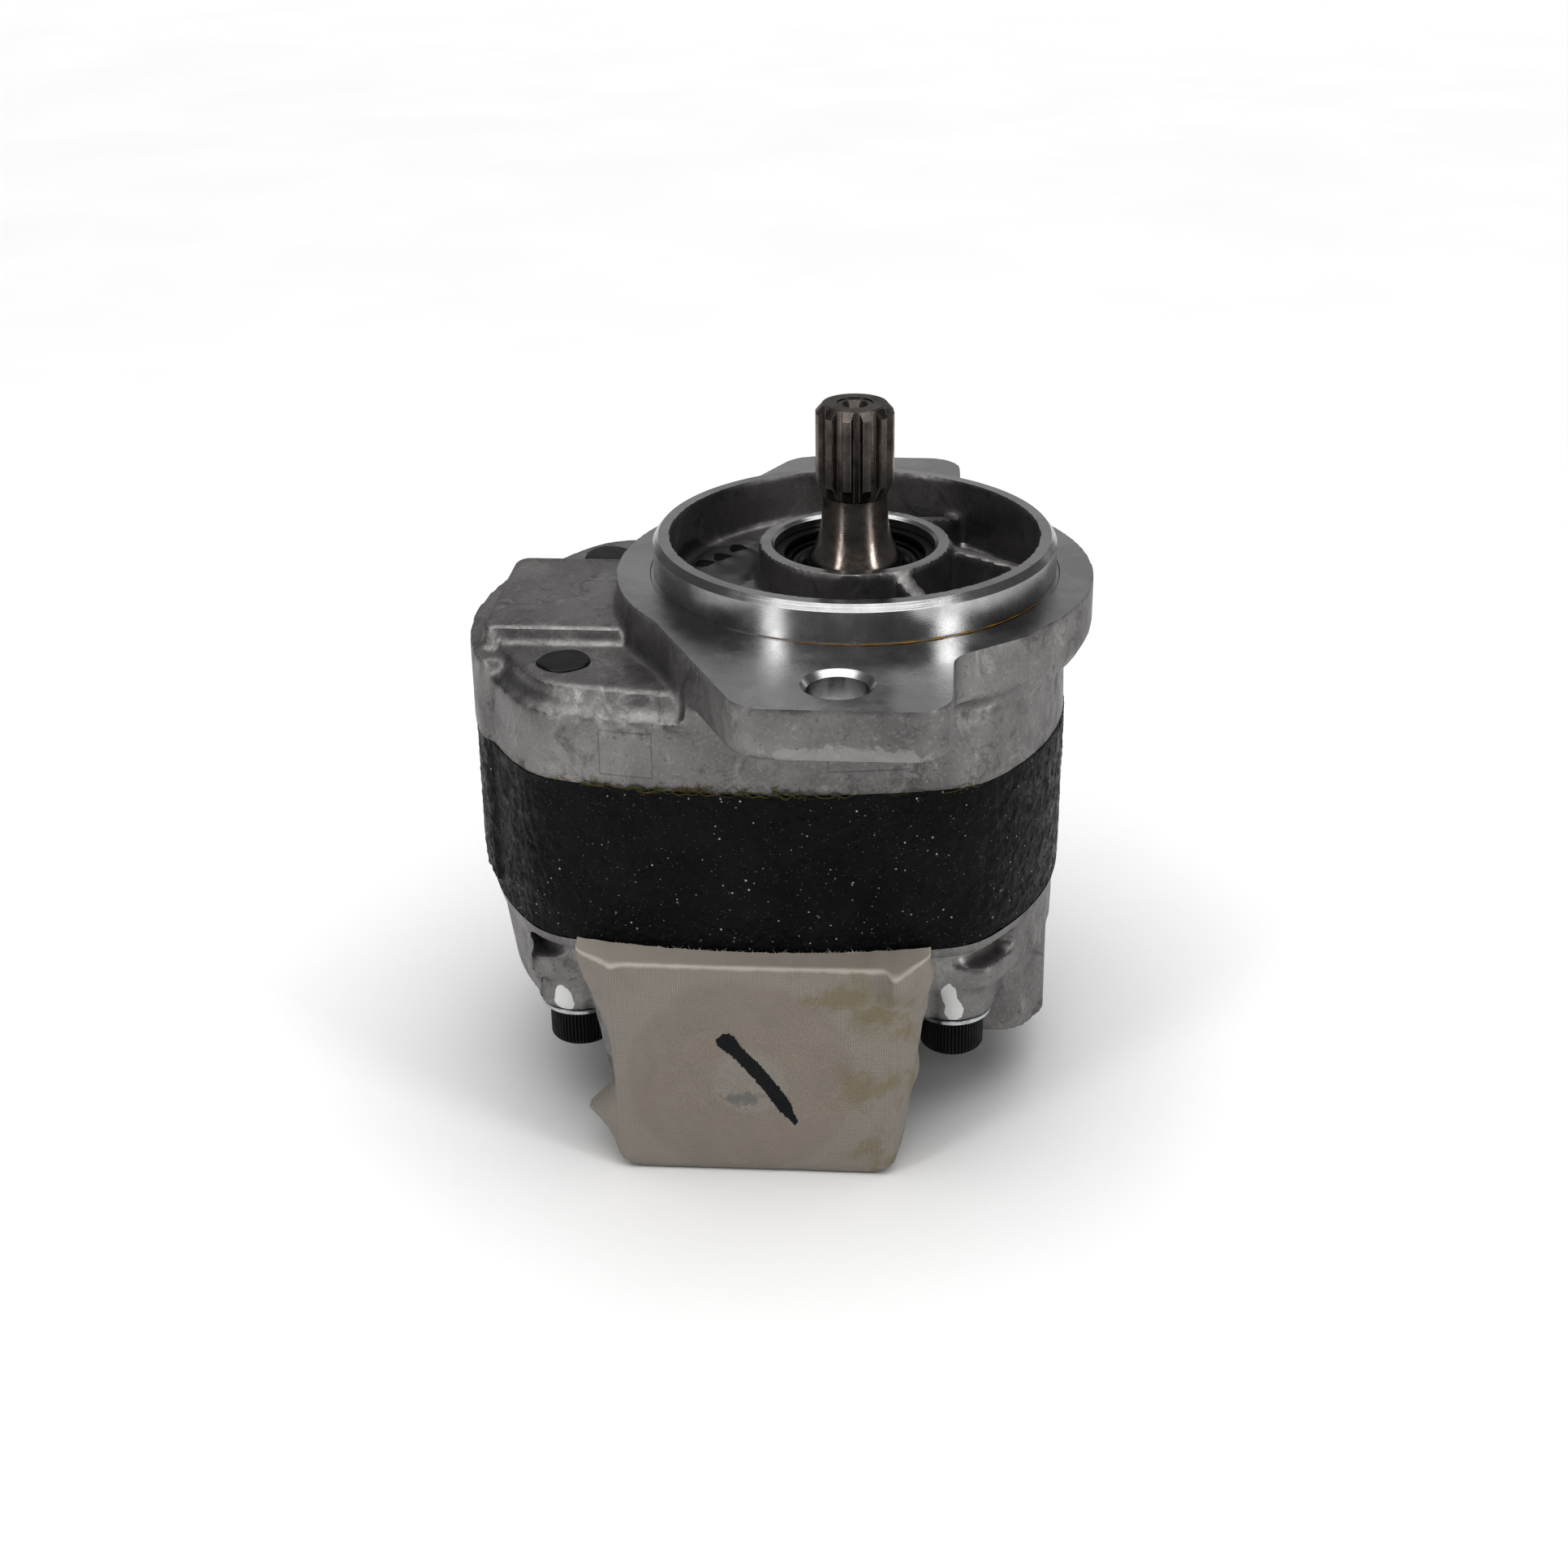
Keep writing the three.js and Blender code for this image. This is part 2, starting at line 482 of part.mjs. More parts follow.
// Figure-eight wear plate with clearance for both journals.
function wearPlate(z0, z1) {
  const s = twoBores(CHAMBER_R - 0.2, z0, z1, 32);
  return cut(s, twoBores(JOURNAL_R + 0.6, z0 - 1, z1 + 1, 24));
}

// Shallow groove in a cover face for the wear plate's seal, and the seal that lies in it.
function plateGroove(z, dir) {
  return eightRing(17.4, 3.2, Math.min(z - dir * 0.5, z + dir * 1.8),
    Math.max(z - dir * 0.5, z + dir * 1.8), 24);
}

function plateSeal(z, dir, r, w) {
  return eightRing(r, w, Math.min(z, z + dir * 1.6), Math.max(z, z + dir * 1.6), 24);
}

// ---- shaft seal ---------------------------------------------------------------------
function sealCase() {
  return lathe([
    [SEAL_R - GAP, -14.6], [SEAL_R - GAP, -8], [SEAL_R - 1, -7.6], [16.2, -7.6], [16.2, -8.6],
    [SEAL_R - 1.4, -8.6], [SEAL_R - 1.4, -14.6], [SEAL_R - GAP, -14.6]], 40);
}

function sealLip() {
  return lathe([
    [SEAL_R - 1.5, -8.7], [16.1, -8.7], [15.2, -8.2], [12.6, -9.9], [12.15, -11],
    [12.9, -12.2], [15.6, -10.4], [SEAL_R - 1.5, -10.4], [SEAL_R - 1.5, -8.7]], 36);
}

function garterSpring() {
  const p = [];
  for (let i = 0; i <= 6; i++) {
    const t = (i / 6) * 2 * Math.PI;
    p.push([14 + 0.55 * Math.cos(t), -12.9 + 0.55 * Math.sin(t)]);
  }
  return lathe(p, 24);
}

function retainingRing() {
  const s = ring(17.8, SEAL_R + 0.9, -7.1, -5.8, 36);
  return cut(s, block(-3, 3, -25, -16, -8, -5));
}

// ---- fasteners and small parts ------------------------------------------------------
function bolt([x, y]) {
  const under = Z_BOLT - 1.6;
  const s = lathe([
    [0, under - HEAD_H], [HEAD_R - 0.8, under - HEAD_H], [HEAD_R, under - HEAD_H + 0.8],
    [HEAD_R, under], [BOLT_R, under], [BOLT_R, BOLT_TIP - 1], [BOLT_R - 1, BOLT_TIP], [0, BOLT_TIP],
  ], 24);
  const hex = [0, 1, 2, 3, 4, 5].map((i) => {
    const t = (i * Math.PI) / 3;
    return vec(4.6 * Math.cos(t), 4.6 * Math.sin(t));
  });
  return cut(s, prism(hex, under - HEAD_H - 1, under - HEAD_H + 5)).translate([x, y, 0]);
}

function washer([x, y]) {
  return ring(BOLT_R + 0.4, 10, Z_BOLT - 1.5, Z_BOLT - GAP, 28).translate([x, y, 0]);
}

function threadSeal([x, y]) {
  return lathe([[0, Z_PLATFORM - 1.5], [6.1, Z_PLATFORM - 1.5], [6.1, Z_PLATFORM + 0.1],
    [5.4, Z_PLATFORM + 0.55], [0, Z_PLATFORM + 0.7]], 20).translate([x, y, 0]);
}

// Tape stretched over a port pad: a thin lid whose skirt turns back over the pad's edges.
function portTape(s) {
  const half = PAD_W / 2 + 0.35, t = 0.7, back = PAD_Y - 6.2, front = PAD_Y + 0.15;
  const shell = (h, f, b) => {
    const top = Z_REAR + (h > half ? 0.2 : -0.1);
    const g = new THREE.ExtrudeGeometry(
      new THREE.Shape(rounded([
        [-h, top, 2], [-h, Z_BASE - (h - half) - 0.3, 6],
        [h, Z_BASE - (h - half) - 0.3, 6], [h, top, 2],
      ], 4)),
      { depth: f - b, bevelEnabled: false },
    );
    g.rotateX(Math.PI / 2).translate(MID_X, -b, 0);
    return solid(g);
  };
  const lid = cut(shell(half + t, front + t, back), shell(half, front, back - 1));
  const keep = cut(lid, block(-120, 80, -60, 60, Z_REAR - 12, 0));
  return s < 0 ? keep : keep.mirror([0, 1, 0]);
}

function drainPlug() {
  const hex = [0, 1, 2, 3, 4, 5].map((i) =>
    vec(3.4 * Math.cos((i * Math.PI) / 3), 3.4 * Math.sin((i * Math.PI) / 3)));
  const s = lathe([[0, 34], [6, 34], [6, 46.1], [9, 46.1], [9, 49.5], [8.4, 50.1], [0, 50.1]], 24);
  return cut(s, prism(hex, 45, 51)).rotate([0, 90, 0]).translate([0, 0, -108]);
}

// ---- assembly -----------------------------------------------------------------------
const pump = new THREE.Group();

// Adds a solid as one named mesh, in the group given.
function add(name, made, material, group = pump) {
  const m = made.getMesh(), n = m.numProp;
  const v = new Float32Array(m.numVert * 3);
  for (let i = 0; i < m.numVert; i++) v.set(m.vertProperties.subarray(i * n, i * n + 3), i * 3);
  const g = new THREE.BufferGeometry();
  g.setAttribute("position", new THREE.BufferAttribute(v, 3));
  g.setIndex(new THREE.BufferAttribute(new Uint32Array(m.triVerts), 1));
  g.computeVertexNormals();
  const mesh = new THREE.Mesh(g, material);
  mesh.name = name;
  group.add(mesh);
  return mesh;
}

add("front_cover", frontCover(), MAT.castAlu);
add("gear_body", gearBody(), MAT.iron);
add("rear_cover", rearCover(), MAT.castAlu);
add("drive_gear_shaft", driveShaft(), MAT.steel);
add("driven_gear_shaft", drivenShaft(), MAT.gearSteel);

for (const [side, x] of [["drive", 0], ["driven", DRIVEN_X]]) {
  const front = add("bush_front_" + side, bush(Z_FRONT, Z_FRONT + BUSH_LEN), MAT.bronze);
  const rear = add("bush_rear_" + side, bush(Z_REAR - GAP - BUSH_LEN, Z_REAR - GAP), MAT.bronze);
  front.position.x = x;
  rear.position.x = x;
}

const pFront = Z_FRONT - GAP - PLATE_T, pRear = Z_REAR + GAP;
add("wear_plate_front", wearPlate(pFront, pFront + PLATE_T - 0.05), MAT.bronze);
add("wear_plate_rear", wearPlate(pRear + 0.05, pRear + PLATE_T), MAT.bronze);
add("plate_seal_front", plateSeal(Z_FRONT, 1, 19.2, 1.3), MAT.rubber);
add("plate_backup_front", plateSeal(Z_FRONT, 1, 17.6, 1.3), MAT.backup);
add("plate_seal_rear", plateSeal(Z_REAR - GAP, -1, 19.2, 1.3), MAT.rubber);
add("plate_backup_rear", plateSeal(Z_REAR - GAP, -1, 17.6, 1.3), MAT.backup);
add("section_seal_front", sectionSeal(Z_FRONT - 1.6, Z_FRONT - 0.05), MAT.rubber);
add("section_seal_rear", sectionSeal(Z_REAR + 0.05, Z_REAR + 1.6), MAT.rubber);

dowelPlaces.forEach(([x, y], i) => {
  const d = () => lathe([[1.6, -7.9], [3, -7.9], [3, 7.9], [1.6, 7.9], [1.6, -7.9]], 16);
  add("dowel_front_" + (i + 1), d(), MAT.gearSteel).position.set(x, y, Z_FRONT);
  add("dowel_rear_" + (i + 1), d(), MAT.gearSteel).position.set(x, y, Z_REAR);
});

add("shaft_seal_case", sealCase(), MAT.blackSteel);
add("shaft_seal_lip", sealLip(), MAT.rubber);
add("garter_spring", garterSpring(), MAT.gearSteel);
add("retaining_ring", retainingRing(), MAT.blackSteel);

boltPlaces.forEach((p, i) => {
  add("bolt_" + (i + 1), bolt(p), MAT.blackSteel);
  add("washer_" + (i + 1), washer(p), MAT.zinc);
  if (p[0] < MID_X) add("thread_seal_" + (i < 2 ? 1 : 2), threadSeal(p), MAT.sealant);
});

add("port_tape_front", portTape(-1), MAT.tape);
add("port_tape_back", portTape(1), MAT.tape);
add("drain_plug", drainPlug(), MAT.zinc);

// The origin goes to the middle of the base.
const box = new THREE.Box3().setFromObject(pump);
const root = new THREE.Group();
pump.position.set(-(box.min.x + box.max.x) / 2, -(box.min.y + box.max.y) / 2, -box.min.z);
root.add(pump);

export default root;
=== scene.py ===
"""External gear pump: a piloted two-bolt front cover, a black gear body and a taped rear cover."""

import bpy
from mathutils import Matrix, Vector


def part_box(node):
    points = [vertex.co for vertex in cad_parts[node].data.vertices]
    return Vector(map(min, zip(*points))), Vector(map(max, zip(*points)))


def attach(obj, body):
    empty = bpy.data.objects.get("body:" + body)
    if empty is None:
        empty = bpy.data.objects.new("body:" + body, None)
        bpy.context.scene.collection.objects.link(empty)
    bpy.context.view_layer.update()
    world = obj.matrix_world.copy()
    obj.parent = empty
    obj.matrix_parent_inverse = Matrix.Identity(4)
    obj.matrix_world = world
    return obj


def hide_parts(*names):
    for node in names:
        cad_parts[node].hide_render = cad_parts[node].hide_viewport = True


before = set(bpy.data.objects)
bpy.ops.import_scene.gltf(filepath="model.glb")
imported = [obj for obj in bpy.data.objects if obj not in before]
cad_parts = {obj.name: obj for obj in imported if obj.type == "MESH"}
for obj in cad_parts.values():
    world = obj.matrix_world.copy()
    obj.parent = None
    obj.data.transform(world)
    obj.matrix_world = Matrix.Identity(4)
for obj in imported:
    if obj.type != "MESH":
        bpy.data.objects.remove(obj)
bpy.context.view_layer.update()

import math
import random

import bpy
from bpy.props import FloatProperty, FloatVectorProperty, IntProperty, PointerProperty
from mathutils import Vector, noise

bl_info = {
    "name": "Gear Pump Maker",
    "version": (1, 0, 0),
    "blender": (4, 5, 0),
    "location": "View3D > Sidebar > Gear Pump",
    "description": "Models a flange-mounted gear pump piece by piece around its CAD frame",
    "category": "Add Mesh",
}

# ---- places, from the frame ---------------------------------------------------------
# Lengths below are in millimetres from the drive shaft's axis and the pilot's rim.
MM = 0.001
SHAFT_LOW, SHAFT_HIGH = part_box("drive_gear_shaft")
COVER_LOW, COVER_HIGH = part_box("front_cover")
BODY_LOW, BODY_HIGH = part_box("gear_body")
REAR_LOW, REAR_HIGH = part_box("rear_cover")
TAPE_LOW, TAPE_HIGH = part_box("port_tape_front")
AXIS_X = (SHAFT_LOW.x + SHAFT_HIGH.x) / 2
RIM_Z = COVER_HIGH.z


def level(z):
    """Height above the pilot's rim, in millimetres, of a height in the frame."""
    return round((z - RIM_Z) / MM, 2)


def across(x):
    """Distance from the shaft's axis, in millimetres, of an x in the frame."""
    return round((x - AXIS_X) / MM, 2)


SHAFT_TOP = level(SHAFT_HIGH.z)
Z_JOINT = level(COVER_LOW.z)
Z_BODY_TOP = level(BODY_HIGH.z)
Z_BODY_END = level(BODY_LOW.z)
Z_REAR_TOP = level(REAR_HIGH.z)
Z_BASE = level(REAR_LOW.z)
PAD_FACE = round(REAR_HIGH.y / MM, 2)
PITCH = AXIS_X - sum(c.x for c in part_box("driven_gear_shaft")) / 2
DRIVEN_X = -round(PITCH / MM, 2)
MID_X = DRIVEN_X / 2
LUG_EDGE = round(COVER_HIGH.y / MM, 2)
BOLTS = [
    (across(sum(c.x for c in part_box(f"bolt_{i}")) / 2), sum(c.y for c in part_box(f"bolt_{i}")) / 2 / MM)
    for i in (1, 2, 3, 4)
]
OBLONG = {"a": 74.9, "b": 59.6, "front": 198.0, "end": 73.0, "corner": 21.0}

Z_FACE, Z_FLANGE, Z_PLATFORM, Z_RAISED = -9.7, -22.4, -22.0, -18.0
Z_SHOULDER, Z_LEDGE = -26.0, -27.7
PILOT_R, RIM_R, PILOT_IN, FLANGE_R = 50.8, 49.4, 46.4, 60.2
LUG_Y, LUG_HOLE_R, LUG_CHAMFER_R = 73.0, 7.15, 8.6
BOSS_R, BOSS_Z, SEAL_R, SEAL_FLOOR = 24.3, -2.8, 20.3, -15.5
POCKET_LEFT, POCKET_RIGHT = -13.6, -18.0
BUSH_R, BUSH_LEN, JOURNAL_R, CHAMBER_R = 14.1, 15.3, 12.0, 24.5
Z_LIP, Z_BLOCK, Z_TAPER = -92.0, -98.0, -104.5
Z_SEAT = round(level(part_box("washer_1")[1].z) + 0.1, 2)
Z_PORT, PORT_R, SPOT_R, PAD_HALF = -119.0, 16.5, 25.0, 34.4
SPLINE_R, SPLINE_ROOT, SPLINE_TEETH = 9.85, 8.15, 12

# The stage: the eye's place in millimetres, its angles in degrees and its lens.
EYE = (27.7, -529, 195.2)
EYE_TILT, EYE_TURN = 67.755, 2.956
LENS, SENSOR, LENS_SHIFT = 51.48, 36, (-0.0462, -0.1116)
OVERHEAD_POWER, OVERHEAD_SPREAD, VIEW_GAMMA = 2.6, 80, 0.65


def place(x, y, z):
    """A point in metres, in the frame, from millimetres on the shaft's axis and rim."""
    return Vector((AXIS_X + x * MM, y * MM, RIM_Z + z * MM))


# ---- modelling by operators ---------------------------------------------------------
def only(obj):
    """Leaves obj alone selected and active, in object mode."""
    if bpy.context.object and bpy.context.object.mode != "OBJECT":
        bpy.ops.object.mode_set(mode="OBJECT")
    bpy.ops.object.select_all(action="DESELECT")
    obj.select_set(True)
    bpy.context.view_layer.objects.active = obj


def fresh():
    """Leaves nothing selected, in object mode."""
    if bpy.context.object and bpy.context.object.mode != "OBJECT":
        bpy.ops.object.mode_set(mode="OBJECT")
    bpy.ops.object.select_all(action="DESELECT")


def named(name):
    """The active object, under its name, with its place moved into its mesh."""
    obj = bpy.context.object
    obj.name = obj.data.name = name
    bpy.ops.object.transform_apply(location=True, rotation=True, scale=True)
    return obj


def wire(points, closed=False):
    """Draws a wire through the points by extruding one vertex, and stays in edit mode."""
    fresh()
    bpy.ops.mesh.primitive_plane_add(size=MM, location=(0, 0, 0))
    bpy.ops.object.mode_set(mode="EDIT")
    bpy.ops.mesh.select_all(action="SELECT")
    bpy.ops.mesh.merge(type="CENTER")
    bpy.ops.transform.translate(value=points[0])
    for here, there in zip(points, points[1:]):
        bpy.ops.mesh.extrude_region_move(TRANSFORM_OT_translate={"value": there - here})
    bpy.ops.mesh.select_all(action="SELECT")
    if closed:
        bpy.ops.mesh.edge_face_add()


def slab(name, outline, low, high, shrink=(1.0, 1.0), about=(0.0, 0.0)):
    """A prism of an outline between two levels, its top scaled about a point for draft."""
    wire([place(x, y, low) for x, y in outline], closed=True)
    rise = {"value": (0, 0, (high - low) * MM)}
    bpy.ops.mesh.extrude_region_move(TRANSFORM_OT_translate=rise)
    if shrink != (1.0, 1.0):
        bpy.ops.transform.resize(value=(*shrink, 1), center_override=place(*about, high))
    bpy.ops.mesh.select_all(action="SELECT")
    bpy.ops.mesh.normals_make_consistent(inside=False)
    bpy.ops.object.mode_set(mode="OBJECT")
    return named(name)


def upright(name, outline, near, far):
    """A prism of an outline in x and z, between two values of y."""
    wire([place(x, near, z) for x, z in outline], closed=True)
    run = {"value": (0, (far - near) * MM, 0)}
    bpy.ops.mesh.extrude_region_move(TRANSFORM_OT_translate=run)
    bpy.ops.mesh.select_all(action="SELECT")
    bpy.ops.mesh.normals_make_consistent(inside=False)
    bpy.ops.object.mode_set(mode="OBJECT")
    return named(name)


def turned(name, profile, steps=96, x=0.0, y=0.0):
    """Spins a profile of (radius, z) pairs round an upright axis, closed at its ends."""
    wire([place(x + r, y, z) for r, z in profile])
    bpy.ops.mesh.spin(
        steps=steps, angle=math.tau, center=place(x, y, 0), axis=(0, 0, 1), dupli=False
    )
    bpy.ops.mesh.select_all(action="SELECT")
    bpy.ops.mesh.remove_doubles(threshold=0.02 * MM)
    bpy.ops.mesh.normals_make_consistent(inside=False)
    bpy.ops.object.mode_set(mode="OBJECT")
    return named(name)


def ring_of(inner, outer, low, high):
    """Profile of a plain ring."""
    return [(inner, low), (outer, low), (outer, high), (inner, high), (inner, low)]


def peg(name, radius, low, high, x=0.0, y=0.0, sides=48):
    """An upright round bar."""
    fresh()
    bpy.ops.mesh.primitive_cylinder_add(
        vertices=sides, radius=radius * MM, depth=(high - low) * MM,
        location=place(x, y, (low + high) / 2),
    )
    return named(name)


def peg_along(name, radius, start, end, axis, sides=64):
    """A round bar between two points (millimetres) along X or Y."""
    fresh()
    a, b = place(*start), place(*end)
    turn = (math.pi / 2, 0, 0) if axis == "Y" else (0, math.pi / 2, 0)
    bpy.ops.mesh.primitive_cylinder_add(
        vertices=sides, radius=radius * MM, depth=(b - a).length, location=(a + b) / 2,
        rotation=turn,
    )
    return named(name)


def brick(name, low, high):
    """A box between two corners (millimetres)."""
    fresh()
    a, b = place(*low), place(*high)
    bpy.ops.mesh.primitive_cube_add(size=1, location=(a + b) / 2)
    bpy.context.object.scale = b - a
    return named(name)


def apply_modifier(obj, kind, **settings):
    """Adds one modifier with its settings and applies it."""
    only(obj)
    modifier = obj.modifiers.new(kind.title(), kind)
    for key, value in settings.items():
        setattr(modifier, key, value)
    bpy.ops.object.modifier_apply(modifier=modifier.name)


def merged(name, parts):
    """Joins several objects into one, shells and all."""
    only(parts[0])
    for part in parts:
        part.select_set(True)
    bpy.context.view_layer.objects.active = parts[0]
    bpy.ops.object.join()
    return named(name)


def combine(obj, tool, operation):
    """Joins, cuts or keeps the common part of two solids, and drops the tool."""
    apply_modifier(
        obj, "BOOLEAN", operation=operation, solver="MANIFOLD", object=tool,
        material_mode="TRANSFER",
    )
    bpy.data.objects.remove(tool)


def machined(obj, tools, finish):
    """Cuts the tools out of a casting; the cut faces take the finish."""
    for tool in tools:
        coat(tool, finish)
        combine(obj, tool, "DIFFERENCE")


def cast(name, parts, voxel, passes, finish):
    """Fuses overlapping solids into one skin with soft inner and outer corners."""
    obj = merged(name, parts)
    apply_modifier(obj, "REMESH", mode="VOXEL", voxel_size=voxel * MM, adaptivity=0.0)
    apply_modifier(obj, "SMOOTH", factor=0.5, iterations=passes)
    coat(obj, finish)
    return obj


def soften(obj, angle=35):
    """Smooth shading, with edges sharper than the angle left crisp."""
    only(obj)
    bpy.ops.object.shade_smooth_by_angle(angle=math.radians(angle))


def coat(obj, material):
    """Gives a piece one finish all over."""
    obj.data.materials.clear()
    obj.data.materials.append(material)
    obj.data.polygons.foreach_set("material_index", [0] * len(obj.data.polygons))


def settle(obj, body, slot, *nodes):
    """Hands a finished piece to its body and hides the CAD nodes it stands for; the material slot it is
    given is not used.
    """
    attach(obj, body)
    if nodes:
        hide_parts(*nodes)


# ---- outlines, in millimetres -------------------------------------------------------
def arc(cx, cy, radius, start, end, count):
    turns = [start + (end - start) * i / count for i in range(count + 1)]
    return [(cx + radius * math.cos(t), cy + radius * math.sin(t)) for t in turns]


def oblong(grow=0.0, count=12):
    """The pump's outline: flat sides, fuller ends and round corners as tangent arcs."""
    a, b = OBLONG["a"] + grow, OBLONG["b"] + grow
    rf, re, rc = (OBLONG[k] + grow for k in ("front", "end", "corner"))
    fx, fy, ex, ey = 0.0, b - rf, a - re, 0.0
    span = math.hypot(ex - fx, ey - fy)
    p, q = rf - rc, re - rc
    along = (p * p - q * q + span * span) / (2 * span)
    off = math.sqrt(p * p - along * along)
    ux, uy = (ex - fx) / span, (ey - fy) / span
    cx, cy = fx + along * ux + off * uy, fy + along * uy - off * ux
    t_front, t_end = math.atan2(cy - fy, cx - fx), math.atan2(cy - ey, cx - ex)
    quarter = arc(ex, ey, re, 0, t_end, count) + arc(cx, cy, rc, t_end, t_front, count)[1:]
    quarter += arc(fx, fy, rf, t_front, math.pi / 2, count)[1:]
    half = quarter + [(-x, y) for x, y in reversed(quarter[:-1])]
    full = half + [(x, -y) for x, y in reversed(half[1:-1])]
    return [(MID_X + x, y) for x, y in full]


def clipped(outline, low=-1e3, high=1e3, near=-1e3, far=1e3):
    """The outline with its points drawn in to a box."""
    out = []
    for x, y in outline:
        point = (min(max(x, low), high), min(max(y, near), far))
        if not out or math.dist(point, out[-1]) > 1e-3:
            out.append(point)
    return out


def rounded(corners, count=6):
    """A polygon of (x, y, radius) corners, each rounded by its own radius."""
    out = []
    for i, (x, y, radius) in enumerate(corners):
        if not radius:
            out.append((x, y))
            continue
        here = Vector((x, y))
        a = (Vector(corners[i - 1][:2]) - here).normalized()
        b = (Vector(corners[(i + 1) % len(corners)][:2]) - here).normalized()
        half = math.acos(max(-1, min(1, a.dot(b)))) / 2
        reach = radius / math.tan(half)
        centre = here + (a + b).normalized() * (radius / math.sin(half))
        s, e = here + a * reach - centre, here + b * reach - centre
        start = math.atan2(s.y, s.x)
        sweep = (math.atan2(e.y, e.x) - start + math.pi) % math.tau - math.pi
        out += arc(centre.x, centre.y, radius, start, start + sweep, count)
    return out


def lug_outline(side):
    """One flange lug; side is -1 for the front and 1 for the back."""
    corners = [
        (-49, -33, 0), (-21.3, -LUG_EDGE, 10), (26, -LUG_EDGE, 9), (26, -56.5, 7),
        (44, -43, 4), (44, -20, 0), (-49, -20, 0),
    ]
    return rounded([(x, -side * y, r) for x, y, r in corners])


# ---- materials ----------------------------------------------------------------------
class Recipe:
    """A procedural finish on Object coordinates, built node by node."""

    def __init__(self, name, **surface):
        self.material = bpy.data.materials.new(name)
        self.material.use_nodes = True
        self.tree = self.material.node_tree
        self.surface = self.tree.nodes["Principled BSDF"]
        for socket, value in surface.items():
            self.surface.inputs[socket.replace("_", " ")].default_value = value
        self.coords = self.tree.nodes.new("ShaderNodeTexCoord").outputs["Object"]
        self.last_normal = None

    def node(self, kind, *links, out=0, **settings):
        made = self.tree.nodes.new("ShaderNode" + kind)
        for key, value in settings.items():
            if hasattr(made, key):
                setattr(made, key, value)
            else:
                made.inputs[key.replace("_", " ").capitalize()].default_value = value
        for index, source in enumerate(links):
            if source is None:
                continue
            if hasattr(source, "is_output"):
                self.tree.links.new(source, made.inputs[index])
            else:
                made.inputs[index].default_value = source
        return made.outputs[out]

    def math(self, operation, a, b=None, clamp=False):
        return self.node("Math", a, b, operation=operation, use_clamp=clamp)

    def vector(self, operation, a, b=None, out=0):
        return self.node("VectorMath", a, b, operation=operation, out=out)

    def noise(self, scale, detail=4.0, roughness=0.55, distortion=0.0, stretch=None, coords=None):
        where = coords or self.coords
        if stretch:
            where = self.vector("MULTIPLY", where, stretch)
        made = self.tree.nodes.new("ShaderNodeTexNoise")
        self.tree.links.new(where, made.inputs["Vector"])
        for key, value in (("Scale", scale), ("Detail", detail), ("Roughness", roughness),
                           ("Distortion", distortion)):
            made.inputs[key].default_value = value
        return made.outputs[0]

    def cells(self, scale, feature="F1", randomness=1.0):
        made = self.tree.nodes.new("ShaderNodeTexVoronoi")
        made.feature = feature
        self.tree.links.new(self.coords, made.inputs["Vector"])
        made.inputs["Scale"].default_value = scale
        made.inputs["Randomness"].default_value = randomness
        return made.outputs["Distance"]

    def band(self, value, low, high, start=0.0, end=1.0):
        """Maps a value smoothly from one range to another, held at both ends."""
        made = self.tree.nodes.new("ShaderNodeMapRange")
        made.interpolation_type = "SMOOTHSTEP"
        self.tree.links.new(value, made.inputs["Value"])
        for key, number in (("From Min", low), ("From Max", high), ("To Min", start),
                            ("To Max", end)):
            made.inputs[key].default_value = number
        return made.outputs["Result"]

    def blend(self, share, under, over):
        """Colour that goes from under to over by a share."""
        made = self.tree.nodes.new("ShaderNodeMix")
        made.data_type = "RGBA"
        for socket, value in ((made.inputs[0], share), (made.inputs[6], under),
                              (made.inputs[7], over)):
            if hasattr(value, "is_output"):
                self.tree.links.new(value, socket)
            elif isinstance(value, (int, float)):
                socket.default_value = value
            else:
                socket.default_value = (*value, 1.0)
        return made.outputs[2]

    def split(self, out, coords=None):
        made = self.tree.nodes.new("ShaderNodeSeparateXYZ")
        self.tree.links.new(coords or self.coords, made.inputs[0])
        return made.outputs[out]

    def far_from(self, point, squash=(1, 1, 1)):
        """Distance in metres from a point, with each axis weighted."""
        reach = self.vector("SUBTRACT", self.coords, tuple(point))
        return self.vector("LENGTH", self.vector("MULTIPLY", reach, squash), out=1)

    def bump(self, height, strength, distance):
        made = self.tree.nodes.new("ShaderNodeBump")
        made.inputs["Strength"].default_value = strength
        made.inputs["Distance"].default_value = distance * MM
        self.tree.links.new(height, made.inputs["Height"])
        if self.last_normal:
            self.tree.links.new(self.last_normal, made.inputs["Normal"])
        self.last_normal = made.outputs["Normal"]

    def done(self, colour=None, roughness=None, metallic=None):
        for socket, source in (("Base Color", colour), ("Roughness", roughness),
                               ("Metallic", metallic), ("Normal", self.last_normal)):
            if source is not None:
                self.tree.links.new(source, self.surface.inputs[socket])
        return self.material


FINISHES = {}


def finish(name):
    """The material of that name, made on first use."""
    if name not in FINISHES:
        FINISHES[name] = MAKERS[name](bpy.context.scene.pump_colours)
    return FINISHES[name]


def scaled(colour, factor):
    return tuple(min(1.0, c * factor) for c in colour)


